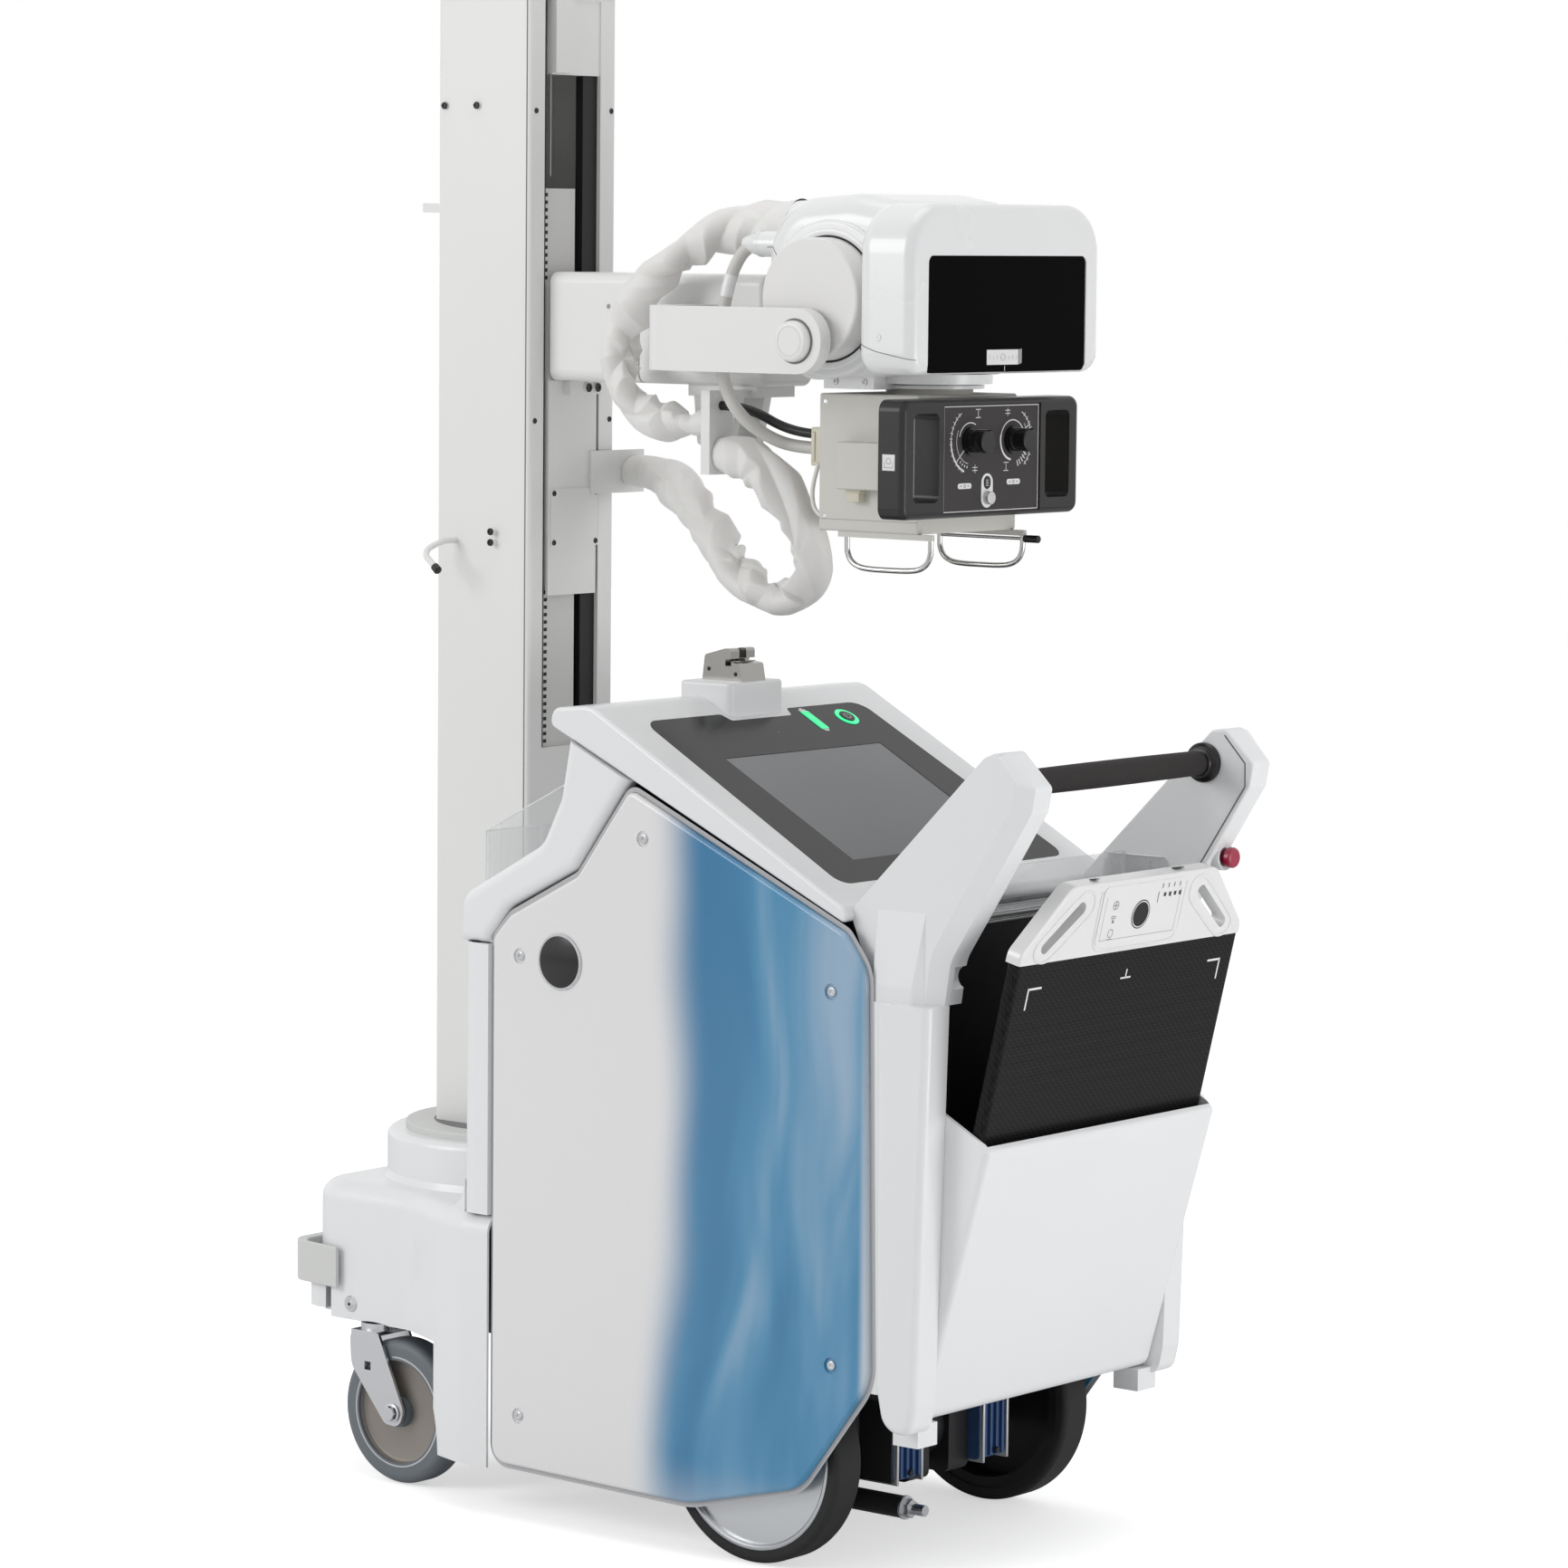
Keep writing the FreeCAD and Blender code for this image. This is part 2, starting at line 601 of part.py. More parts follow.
def grip_bar():
    half = HANDLE_IN - 12
    bar = rod(vec(BAR_X, -half, BAR_Z), ALONG_Y, BAR_R, 2 * half)
    end = rod(vec(BAR_X, -HANDLE_IN, BAR_Z), ALONG_Y, 25, 9)
    hub = rod(vec(BAR_X, -HANDLE_IN + 9, BAR_Z), ALONG_Y, 19, 6)
    return join(bar, both(join(end, hub)))


def rail_guard():
    strip = side_slab([(424, 808, 0), (420, 862, 1), (424, 862, 1), (428, 808, 0)], -HANDLE_IN, HANDLE_IN)
    half = HANDLE_IN - 8
    base = box(386, 428, -half, half, 805, 808)
    tab = side_slab([(392, 805, 0), (392, 858, 8), (492, 858, 12), (492, 820, 12), (428, 805, 0)],
                    HANDLE_IN - 3, HANDLE_IN)
    screws = [rod(vec(x, HANDLE_IN - 5, z), ALONG_Y, 5, 5) for x in (408, 470) for z in (828, 848)]
    low = box(388, 400, -half, half, 792, 805)
    solid = join(strip, base, tab, flip(tab), low, *screws, *[flip(s) for s in screws])
    return solid


def stop_arm(arm):
    cup = rod(vec(STOP_X - 22, STOP_Y, STOP_Z), ALONG_X, STOP_R + 4, 30)
    bore = rod(vec(STOP_X - 10, STOP_Y, STOP_Z), ALONG_X, 7 + GAP, 24)
    return join(arm, cup).cut(bore)


def stop_button():
    stem = rod(vec(STOP_X - 4, STOP_Y, STOP_Z), ALONG_X, 7, 18)
    head = rod(vec(STOP_X + 13, STOP_Y, STOP_Z), ALONG_X, STOP_R, 9)
    head = soften(head, 4, lambda e: in_plane_x(e, STOP_X + 22))
    return join(stem, head)


def on_lean(shape):
    """Moves a shape drawn with z down from the top edge on to the leaning detector."""
    moved = shape.copy()
    moved.rotate(vec(0, 0, 0), ALONG_Y, DET_LEAN)
    moved.translate(vec(DET_X, 0, DET_Z))
    return moved


def detector_panel():
    slab = box(-DET_THICK, 0, -DET_HALF, DET_HALF, -DET_LONG, -DET_HANDLE)
    slab = soften(slab, 7, lambda e: e.BoundBox.ZLength > 300)
    slab = soften(slab, 4, lambda e: in_plane_z(e, -DET_LONG))
    return on_lean(slab)


def detector_handle():
    shape = [(-DET_HALF, -DET_HANDLE, 0), (-DET_HALF, -78, 18), (-150, 0, 26), (150, 0, 26),
             (DET_HALF, -78, 18), (DET_HALF, -DET_HANDLE, 0)]
    body = front_slab(shape, -DET_THICK - 1, 1)
    rim = soften(body, 3, lambda e: in_plane_x(e, 1) and e.BoundBox.Center.z > -91.5)
    slot = front_slab([(-196, -74, 7), (-183, -82, 7), (-112, -30, 8), (-124, -18, 8)], -40, 20)
    label = front_slab([(-84, -80, 8), (84, -80, 8), (84, -6, 8), (-84, -6, 8)], 1, 2.4)
    return on_lean(join(rim.cut(slot).cut(flip(slot)), label))


# Drive and caster wheels

def drive_tyre():
    ring = rod(vec(WHEEL_X, -WHEEL_Y - WHEEL_WIDE / 2, WHEEL_R), ALONG_Y, WHEEL_R, WHEEL_WIDE)
    ring = soften(ring, 8, lambda e: e.Length > 100)
    return ring.cut(rod(vec(WHEEL_X, -300, WHEEL_R), ALONG_Y, RIM_R, 200))


def drive_hub():
    outer = -WHEEL_Y - WHEEL_WIDE / 2
    rim = rod(vec(WHEEL_X, outer + 3, WHEEL_R), ALONG_Y, RIM_R, WHEEL_WIDE - 6)
    dish = rod(vec(WHEEL_X, outer, WHEEL_R), ALONG_Y, RIM_R - 8, 7)
    deep = rod(vec(WHEEL_X, outer + 16, WHEEL_R), ALONG_Y, RIM_R - 14, 60)
    boss = rod(vec(WHEEL_X, outer + 14, WHEEL_R), ALONG_Y, 34, WHEEL_WIDE - 16)
    hole = rod(vec(WHEEL_X, outer + 9, WHEEL_R), ALONG_Y, AXLE_R + GAP, 60)
    return join(rim.cut(dish).cut(deep), boss).cut(hole)


def caster_fork():
    axle = vec(CASTER_X + CASTER_TRAIL, -CASTER_Y, CASTER_R)
    leg = side_slab([(CASTER_X - 24, 186, 4), (CASTER_X - 20, 196, 2), (CASTER_X + 26, 196, 2),
                     (axle.x + 19, CASTER_R + 4, 16), (axle.x + 12, CASTER_R - 18, 14),
                     (axle.x - 14, CASTER_R - 16, 14), (CASTER_X - 22, 150, 30)],
                    -CASTER_Y - 30, -CASTER_Y - 26)
    hole = box(CASTER_X + 2, CASTER_X + 13, -CASTER_Y - 40, -CASTER_Y + 40, 146, 157)
    far_leg = leg.copy()
    far_leg.translate(vec(0, 56, 0))
    top = box(CASTER_X - 22, CASTER_X + 24, -CASTER_Y - 30, -CASTER_Y + 30, 192, 197)
    disc = rod(vec(CASTER_X, -CASTER_Y, 197), UP, 24, CASTER_TOP - 197)
    bolt = rod(vec(axle.x, -CASTER_Y - 34, CASTER_R), ALONG_Y, CASTER_AXLE_R, 68)
    nut = hexagon(axle.x, CASTER_R, 9, -CASTER_Y - 38, -CASTER_Y - 30)
    far_nut = hexagon(axle.x, CASTER_R, 9, -CASTER_Y + 30, -CASTER_Y + 38)
    return join(leg, far_leg, top, disc, bolt, nut, far_nut).cut(hole)


def hexagon(x, z, radius, y0, y1):
    corners = []
    for i in range(6):
        turn = math.radians(60 * i)
        corners.append((x + radius * math.cos(turn), z + radius * math.sin(turn), 0))
    return side_slab(corners, y0, y1)


def caster_wheel():
    x = CASTER_X + CASTER_TRAIL
    near = -CASTER_Y - CASTER_WIDE / 2
    tyre = rod(vec(x, near, CASTER_R), ALONG_Y, CASTER_R, CASTER_WIDE)
    tyre = soften(tyre, 12, lambda e: e.Length > 100)
    dish = rod(vec(x, near, CASTER_R), ALONG_Y, CASTER_RIM_R, 10)
    boss = rod(vec(x, near + 1, CASTER_R), ALONG_Y, 20, CASTER_WIDE - 2)
    far = dish.copy()
    far.translate(vec(0, CASTER_WIDE - 10, 0))
    hole = rod(vec(x, near - 5, CASTER_R), ALONG_Y, CASTER_AXLE_R + GAP, 60)
    return join(tyre.cut(dish).cut(far), boss).cut(hole)


# Drive units under the cart

def drive_motors():
    body = box(222, 318, 60, 116, 92, 184)
    body = soften(body, 6, lambda e: e.BoundBox.YLength > 50)
    fin = [box(218, 322, y, y + 4, 96, 180) for y in (66, 78, 90, 102)]
    return both(join(body, *fin))


def drive_gearboxes():
    case = box(210, 300, 20, 60, 80, 200)
    case = soften(case, 10, lambda e: e.BoundBox.YLength > 30)
    lid = rod(vec(255, 20, 138), vec(0, -1, 0), 38, 20)
    plate = box(222, 318, 116, 120, 92, 200)
    tube = rod(vec(230, -120, 66), ALONG_X, 14, 110)
    tube_hang = box(236, 250, -134, -121, 66, 90)
    return join(both(join(case, lid, plate)), tube, tube_hang)


def tow_stud():
    washer = rod(vec(340, -120, 66), ALONG_X, 15, 3)
    nut = []
    for i in range(6):
        turn = math.radians(60 * i + 30)
        nut.append((-120 + 12 * math.cos(turn), 66 + 12 * math.sin(turn), 0))
    block = front_slab(nut, 343, 352)
    thread = rod(vec(340, -120, 66), ALONG_X, 7, 32)
    return join(washer, block, thread)


# Column

def column_shell():
    y0 = -COL_WIDE / 2
    y1 = COL_WIDE / 2
    outer = box(COL_BACK, COL_FACE, y0, y1, COL_LOW, COL_TOP)
    outer = soften(outer, 7, lambda e: e.BoundBox.ZLength > 1000)
    inner = box(COL_BACK + COL_WALL, COL_FACE - COL_WALL, y0 + COL_WALL, y1 - COL_WALL,
                COL_LOW + 12, COL_TOP - 10)
    mouth = box(COL_FACE - 20, COL_FACE + 20, SLOT_NEAR, SLOT_FAR, 960, COL_TOP - 10)
    shell = outer.cut(inner).cut(mouth)
    cover = box(COL_FACE - COL_WALL - 2, COL_FACE - 2, -44, SLOT_FAR, 1830, COL_TOP - 5)
    hang = box(COL_FACE - 8, COL_FACE + 8, -44, -10, 1832, COL_TOP - 2)
    cap = box(COL_BACK - 2, COL_FACE + 2, y0 - 2, y1 + 2, COL_TOP - 4, COL_TOP + 4)
    cap = soften(cap, 3, lambda e: in_plane_z(e, COL_TOP + 4))
    return join(shell, cover, hang, cap)


def column_rails():
    rail = box(COL_FACE - 18, COL_FACE - COL_WALL, RAIL_IN, SLOT_FAR + 4, 960, 1829.5)
    strip = box(COL_FACE - 12, COL_FACE - COL_WALL, SLOT_NEAR - 3, STRIP_IN, 960, 1829.5)
    for i in range(44):
        z = 975 + i * 19.4
        strip = strip.cut(box(COL_FACE - 9, COL_FACE, SLOT_NEAR + 1, STRIP_IN - 2, z, z + 6))
    return Part.makeCompound([rail, strip])


def column_hooks():
    plate = plan_slab([(COL_BACK, -40, 0), (COL_BACK - 70, -40, 6), (COL_BACK - 70, 40, 6), (COL_BACK, 40, 0)],
                      1652, 1664)
    plate = plate.cut(plan_slab([(COL_BACK - 12, -28, 4), (COL_BACK - 58, -28, 4), (COL_BACK - 58, 28, 4),
                                 (COL_BACK - 12, 28, 4)], 1655, 1670))
    y0 = -COL_WIDE / 2
    hook = tube_path([(COL_BACK + 34, y0, 1226), (COL_BACK + 34, y0 - 26, 1226),
                      (COL_BACK + 18, y0 - 46, 1212), (COL_BACK + 50, y0 - 52, 1190)], 4)
    pegs = [rod(vec(COL_FACE - 60, y0, z), vec(0, -1, 0), 4, 8) for z in (1240, 1226)]
    bolts = [rod(vec(x, y0, 1790), vec(0, -1, 0), 4, 3) for x in (COL_BACK + 14, COL_BACK + 70)]
    return Part.makeCompound([plate, hook] + pegs + bolts)


# Arm

def carriage():
    block = box(-450, COL_FACE, STRIP_IN + GAP, RAIL_IN - GAP, 1170, 1560)
    bore = box(-460, COL_FACE + 20, -TUBE_HALF - GAP, TUBE_HALF + GAP, ARM_Z - TUBE_TALL / 2 - GAP,
               ARM_Z + TUBE_TALL / 2 + GAP)
    inside = box(-444, COL_FACE - 16, -36, 12, 1180, 1440)
    cover = box(COL_FACE - 1, COL_FACE + 3, -50, 44, 1158, 1437)
    plate = box(COL_FACE + 3, COL_FACE + 5, -46, 46, 1221, 1296)
    clamp = box(COL_FACE + 3, COL_FACE + 14, -20, 40, 1418, 1436)
    screws = [rod(vec(COL_FACE + 14, y, 1427), ALONG_X, 6, 4) for y in (12, 30)]
    tab = box(COL_FACE + 3, COL_FACE + 7, 30, 136, 1288, 1344)
    return join(block.cut(inside).cut(bore), cover, plate, clamp, tab, *screws)


def arm_outer():
    z0 = ARM_Z - ARM_TALL / 2
    z1 = ARM_Z + ARM_TALL / 2
    skin = front_slab([(-ARM_HALF, z0, 14), (ARM_HALF, z0, 14), (ARM_HALF, z1, 14), (-ARM_HALF, z1, 14)],
                      ARM_START, ARM_SEAM)
    skin = soften(skin, 5, lambda e: in_plane_x(e, ARM_START))
    bore = box(ARM_START - 5, ARM_SEAM + 5, -TUBE_HALF - GAP, TUBE_HALF + GAP,
               ARM_Z - TUBE_TALL / 2 - GAP, ARM_Z + TUBE_TALL / 2 + GAP)
    neck = box(COL_FACE, ARM_START + 6, -42, 22, z0 + 10, z1 - 30)
    return join(skin, neck).cut(bore)


def arm_tube():
    half = TUBE_TALL / 2
    tube = box(TUBE_BACK, ARM_SEAM + 1, -TUBE_HALF, TUBE_HALF, ARM_Z - half, ARM_Z + half)
    hollow = box(TUBE_BACK - 5, ARM_SEAM - 12, -TUBE_HALF + 4, TUBE_HALF - 4, ARM_Z - half + 4, ARM_Z + half - 4)
    plate = rod(vec(ARM_SEAM + GAP, 0, ARM_Z), ALONG_X, 45, YOKE_START - ARM_SEAM - 2 * GAP)
    spigot = rod(vec(ARM_SEAM + GAP, 0, ARM_Z), ALONG_X, SPIGOT_R, SPIGOT_END - ARM_SEAM - GAP)
    return join(tube.cut(hollow), plate, spigot)


def yoke():
    z0 = ARM_Z - ARM_TALL / 2
    z1 = ARM_Z + ARM_TALL / 2
    body = front_slab([(-ARM_HALF, z0, 14), (ARM_HALF, z0, 14), (ARM_HALF, z1, 14), (-ARM_HALF, z1, 14)],
                      YOKE_START, YOKE_END)
    body = soften(body, 8, lambda e: in_plane_x(e, YOKE_END))
    bore = rod(vec(YOKE_START - 5, 0, ARM_Z), ALONG_X, SPIGOT_R + GAP, SPIGOT_END - YOKE_START + 8)
    bend = [(-98, -45, 0), (-80, -62, 30), (-38, -FORK_OUT, 60), (260, -FORK_OUT, 0),
            (260, -FORK_IN, 0), (-14, -FORK_IN, 46), (-40, -62, 30), (-20, -45, 0)]
    fork = plan_slab(bend, TILT_Z - FORK_HALF_TALL, TILT_Z + FORK_HALF_TALL)
    reach = side_slab([(-200, TILT_Z - FORK_HALF_TALL, 0), (TILT_X + 40, TILT_Z - FORK_HALF_TALL, 38),
                       (TILT_X + 40, TILT_Z + FORK_HALF_TALL, 38), (-200, TILT_Z + FORK_HALF_TALL, 0)], -400, 400)
    fork = fork.common(reach)
    hole = rod(vec(TILT_X, -FORK_OUT - 1, TILT_Z), ALONG_Y, PIN_R + GAP, 30)
    ring = rod(vec(TILT_X, -FORK_OUT, TILT_Z), vec(0, -1, 0), CAP_R, 9)
    ring = soften(ring, 3, lambda e: in_plane_y(e, -FORK_OUT - 9))
    return join(body, both(join(fork.cut(hole), ring))).cut(bore)


def arm_latch():
    z1 = ARM_Z - ARM_TALL / 2
    plate = box(-92, 20, -38, 38, z1 - 14, z1)
    wing = side_slab([(-86, z1 - 12, 0), (-80, 1362, 6), (-30, 1350, 6), (-14, z1 - 12, 0)], -34, -20)
    bar = box(-80, -26, -22, 22, 1352, 1362)
    clip = box(-4, 10, -118, -20, z1 - 14, z1 - 4)
    drop = box(-4, 10, -118, -72, 1328, z1 - 4)
    return join(plate, both(wing), bar, clip, drop)


# Head

def head_shell():
    side = [(HEAD_REAR, 1500, 40), (HEAD_REAR + 4, HEAD_TOP - 6, 74), (235, HEAD_TOP + 4, 90),
            (330, HEAD_TOP - 12, 60), (340, HEAD_LOW + 20, 0), (300, HEAD_LOW, 36), (150, HEAD_LOW - 8, 40)]
    body = side_slab(side, -HEAD_HALF, HEAD_HALF)
    body = soften(body, 34, lambda e: in_plane_y(e, -HEAD_HALF, HEAD_HALF) and e.BoundBox.Center.x < 334)
    boss = rod(vec(TILT_X, -HEAD_HALF + 20, DISC_Z), vec(0, -1, 0), DISC_R + 22, 26)
    boss = soften(boss, 5, lambda e: in_plane_y(e, -HEAD_HALF - 6))
    body = join(body, both(boss))
    collar = rod(vec(150, -60, 1640), vec(-1, 0, 0), 30, 150 - COLLAR_END)
    boot = rod(vec(150, -100, 1616), vec(-1, 0, 0), 16, 70)
    seat = rod(vec(COLLAR_END, -60, 1640), vec(-1, 0, 0), SLEEVE_R + 1, 40)
    return join(body, collar, boot).cut(seat)


def head_hood():
    low = HEAD_LOW + 4
    top = HEAD_TOP - 8
    shape = [(-HOOD_HALF, low, 26), (HOOD_HALF, low, 26), (HOOD_HALF, top, 60), (-HOOD_HALF, top, 60)]
    body = front_slab(shape, HOOD_BACK, HOOD_FACE)
    body = soften(body, 14, lambda e: in_plane_x(e, HOOD_FACE))
    body = soften(body, 24, lambda e: in_plane_x(e, HOOD_BACK))
    window = front_slab([(-160, 1463, 10), (160, 1463, 10), (160, 1605, 10), (-160, 1605, 10)],
                        HOOD_FACE - 6, HOOD_FACE + 20)
    return body.cut(window)


def head_display():
    return front_slab([(-159.5, 1463.5, 9), (159.5, 1463.5, 9), (159.5, 1604.5, 9), (-159.5, 1604.5, 9)],
                      HOOD_FACE - 6, HOOD_FACE - 1.5)


def head_discs():
    disc = rod(vec(TILT_X, -HEAD_HALF + 20, DISC_Z), vec(0, -1, 0), DISC_R, DISC_FACE - HEAD_HALF + 20)
    disc = soften(disc, 4, lambda e: in_plane_y(e, -DISC_FACE))
    pin = rod(vec(TILT_X, -HEAD_HALF, TILT_Z), vec(0, -1, 0), PIN_R, FORK_OUT - HEAD_HALF - GAP)
    return join(disc, pin)


def head_mount():
    flange = rod(vec(BEAM_X, 0, 1447), UP, FLANGE_R - 14, 12)
    plate = box(BEAM_X - 84, BEAM_X - 6, -104, -58, 1440, 1458)
    neck = rod(vec(BEAM_X, 0, 1444), UP, SWIVEL_R, 6)
    lip = rod(vec(BEAM_X, 0, 1441), UP, SWIVEL_R + 8, 4)
    return join(flange, neck, lip, plate.common(box(0, 400, -200, 200, 1440, 1460)))


# Collimator

def collimator_body():
    lower = box(COLL_REAR, BEZEL_BACK, -COLL_HALF, COLL_HALF, COLL_LOW, COLL_TOP - 4)
    lower = soften(lower, 3, lambda e: True)
    well = rod(vec(BEAM_X, 0, COLL_TOP - 5), UP, SWIVEL_R - 6, 8 - GAP)
    side = box(219, 285, -COLL_HALF - 26, -COLL_HALF, 1318, 1376)
    side = soften(side, 2, lambda e: in_plane_y(e, -COLL_HALF - 26))
    plug = box(226, 244, -COLL_HALF - 12, -COLL_HALF, 1303, 1318)
    rear = box(COLL_REAR - 24, COLL_REAR, -84, -46, 1344, 1390)
    rail = both(box(200, 345, -97, -90, COLL_LOW - 7, COLL_LOW))
    beam = box(BEAM_X - 45, BEAM_X + 45, -60, 60, COLL_LOW - 3, COLL_LOW + 12)
    body = join(lower, well, side, plug, rear, rail)
    return body.cut(beam)


def collimator_bezel():
    plate = front_slab([(-BEZEL_HALF, BEZEL_LOW, 14), (BEZEL_HALF, BEZEL_LOW, 14),
                        (BEZEL_HALF, BEZEL_TOP, 14), (-BEZEL_HALF, BEZEL_TOP, 14)], BEZEL_BACK, BEZEL_FACE)
    plate = soften(plate, 8, lambda e: in_plane_x(e, BEZEL_FACE))
    slot = front_slab([(-158, 1306, 8), (-108, 1306, 8), (-108, 1414, 8), (-158, 1414, 8)], 300, 400)
    panel = box(BEZEL_FACE - 2.5, 400, -98, 98, 1291, 1424)
    holes = [rod(vec(BEZEL_BACK + 6, y, KNOB_Z), ALONG_X, KNOB_SHAFT_R + GAP, 60) for y in (-KNOB_Y, KNOB_Y)]
    press = rod(vec(BEZEL_BACK + 10, LIGHT_Y, LIGHT_Z), ALONG_X, LIGHT_R + GAP, 60)
    return plate.cut(slot).cut(flip(slot)).cut(panel).cut(press).cut(holes[0]).cut(holes[1])


def collimator_bails():
    points = [(212, -93.5, COLL_LOW - 7), (212, -93.5, 1238), (238, -93.5, 1221), (316, -93.5, 1221),
              (342, -93.5, 1238), (342, -93.5, COLL_LOW - 7)]
    near = tube_path(points, 3.5)
    tip = rod(vec(345, 93.5, COLL_LOW - 3.5), ALONG_X, 5, 22)
    return Part.makeCompound([near, flip(near), tip])


def knob(y):
    shaft = rod(vec(BEZEL_BACK + 6 + GAP, y, KNOB_Z), ALONG_X, KNOB_SHAFT_R, 36)
    grip = rod(vec(BEZEL_FACE - 2.5 + 0.6, y, KNOB_Z), ALONG_X, KNOB_R, 28)
    grip = soften(grip, 1.5, lambda e: in_plane_x(e, BEZEL_FACE - 1.9 + 28))
    skirt = rod(vec(BEZEL_FACE - 2.5 + 0.6, y, KNOB_Z), ALONG_X, KNOB_R + 3, 4)
    mark = box(BEZEL_FACE + 6, BEZEL_FACE + 30, y - 0.8, y + 0.8, KNOB_Z + KNOB_R - 1, KNOB_Z + KNOB_R + 0.6)
    return join(shaft, grip, skirt, mark)


def light_button():
    press = rod(vec(BEZEL_BACK + 10 + 4, LIGHT_Y, LIGHT_Z), ALONG_X, LIGHT_R, 30)
    return soften(press, 1.5, lambda e: in_plane_x(e, BEZEL_BACK + 44))


# Cords

SLEEVE_A = [(COLLAR_END - GAP, -60, 1640), (30, -60, 1640), (-26, -80, 1618), (-80, -95, 1584), (-128, -99, 1540),
            (-150, -101, 1484), (-142, -101, 1432), (-106, -98, 1398), (-58, -95, 1391), (-4 - GAP, -95, 1391)]
SLEEVE_B = [(COL_FACE + 7 + GAP, 110, 1316), (-260, 110, 1316), (-206, 84, 1296), (-150, 52, 1270),
            (-98, 26, 1240), (-48, 8, 1206), (6, -10, 1180), (68, -26, 1174), (114, -44, 1200),
            (124, -60, 1250), (104, -78, 1302), (54, -95, 1354), (10 + GAP, -95, 1354)]
HOSE = [(80 - GAP, -100, 1616), (56, -100, 1616), (40, -112, 1584), (34, -121, 1538), (32, -125, 1490),
        (38, -126, 1442), (60, -120, 1402), (84, -86, 1374), (108, -62, 1364), (147 - GAP, -62, 1364)]
CABLE = [(10 + GAP, -95, 1414), (52, -95, 1414), (104, -70, 1382), (147 - GAP, -70, 1382)]
SLEEVE_R = 26.0
HOSE_R = 8.0
CABLE_R = 6.0


def export(name, shape):
    shape.exportStep("parts/" + name + ".step")


def main():
    near_panel = side_panel()
    near_arm = handle_arm()
    hood = head_hood()
    head = join(head_shell(), head_mount()).cut(hood)
    export("chassis_frame", join(chassis_frame(), bumper_seats(), power_box()))
    export("nose_cover", join(nose_cover(), nose_block()))
    export("front_bumper", front_bumper())
    export("column_collar", column_collar())
    export("body_cover", body_cover())
    export("upper_cover", upper_cover())
    export("column_guard", column_guard())
    export("console_frame", console_frame())
    export("console_bezel", console_bezel())
    export("console_screen", console_screen())
    export("power_ring", power_ring())
    export("power_button", power_button())
    export("latch_base", latch_base())
    export("park_latch", park_latch())
    export("side_panel_near", near_panel)
    export("side_panel_far", flip(near_panel))
    export("panel_screws", panel_screws())
    export("rear_frame", rear_frame())
    export("bin_front", bin_front())
    export("bin_liner", bin_liner())
    export("handle_arm_near", near_arm)
    export("handle_arm_far", stop_arm(flip(near_arm)))
    export("grip_bar", grip_bar())
    export("rail_guard", rail_guard())
    export("stop_button", stop_button())
    export("detector_panel", detector_panel())
    export("detector_handle", detector_handle())
    export("drive_tyre_near", drive_tyre())
    export("drive_hub_near", drive_hub())
    export("drive_tyre_far", flip(drive_tyre()))
    export("drive_hub_far", flip(drive_hub()))
    export("caster_fork_near", caster_fork())
    export("caster_fork_far", flip(caster_fork()))
    export("caster_wheel_near", caster_wheel())
    export("caster_wheel_far", flip(caster_wheel()))
    export("drive_motors", drive_motors())
    export("drive_gearboxes", drive_gearboxes())
    export("tow_stud", tow_stud())
    export("column_shell", column_shell())
    export("column_rails", column_rails())
    export("column_hooks", column_hooks())
    export("carriage", carriage())
    export("arm_outer", arm_outer())
    export("arm_tube", arm_tube())
    export("yoke", yoke())
    export("arm_latch", arm_latch())
    export("head_shell", head)
    export("head_hood", hood)
    export("head_display", head_display())
    export("head_discs", both(head_discs()).cut(head))
    export("collimator_body", collimator_body())
    export("collimator_bezel", collimator_bezel())
    export("collimator_bails", collimator_bails())
    export("knob_near", knob(-KNOB_Y))
    export("knob_far", knob(KNOB_Y))
    export("light_button", light_button())
    export("sleeve_upper", tube_path(SLEEVE_A, SLEEVE_R))
    export("sleeve_lower", tube_path(SLEEVE_B, SLEEVE_R))
    export("head_hose", tube_path(HOSE, HOSE_R))
    export("black_cable", tube_path(CABLE, CABLE_R))


main()
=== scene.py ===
import math

import bmesh
import bpy
from mathutils import Matrix, Vector, noise
from mathutils.bvhtree import BVHTree


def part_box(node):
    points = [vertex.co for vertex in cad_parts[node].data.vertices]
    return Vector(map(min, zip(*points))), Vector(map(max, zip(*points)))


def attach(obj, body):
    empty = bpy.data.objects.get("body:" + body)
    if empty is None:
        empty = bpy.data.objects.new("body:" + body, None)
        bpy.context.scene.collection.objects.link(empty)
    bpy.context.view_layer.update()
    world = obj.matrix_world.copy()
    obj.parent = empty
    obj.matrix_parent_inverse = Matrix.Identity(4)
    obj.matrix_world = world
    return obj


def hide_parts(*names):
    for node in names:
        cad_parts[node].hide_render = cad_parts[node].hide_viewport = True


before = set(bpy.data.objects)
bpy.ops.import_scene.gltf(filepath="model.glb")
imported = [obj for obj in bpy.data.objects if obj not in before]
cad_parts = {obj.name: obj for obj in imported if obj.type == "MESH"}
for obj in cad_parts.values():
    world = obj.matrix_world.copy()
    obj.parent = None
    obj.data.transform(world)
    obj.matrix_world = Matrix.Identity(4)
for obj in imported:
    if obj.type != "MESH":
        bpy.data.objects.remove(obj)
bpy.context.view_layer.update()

# Painted covers.
# Every finish starts from one grain group: fine bumps, broad patches of gloss and a faint mottle,
# laid out in the object's own space so that it is the same on every piece.


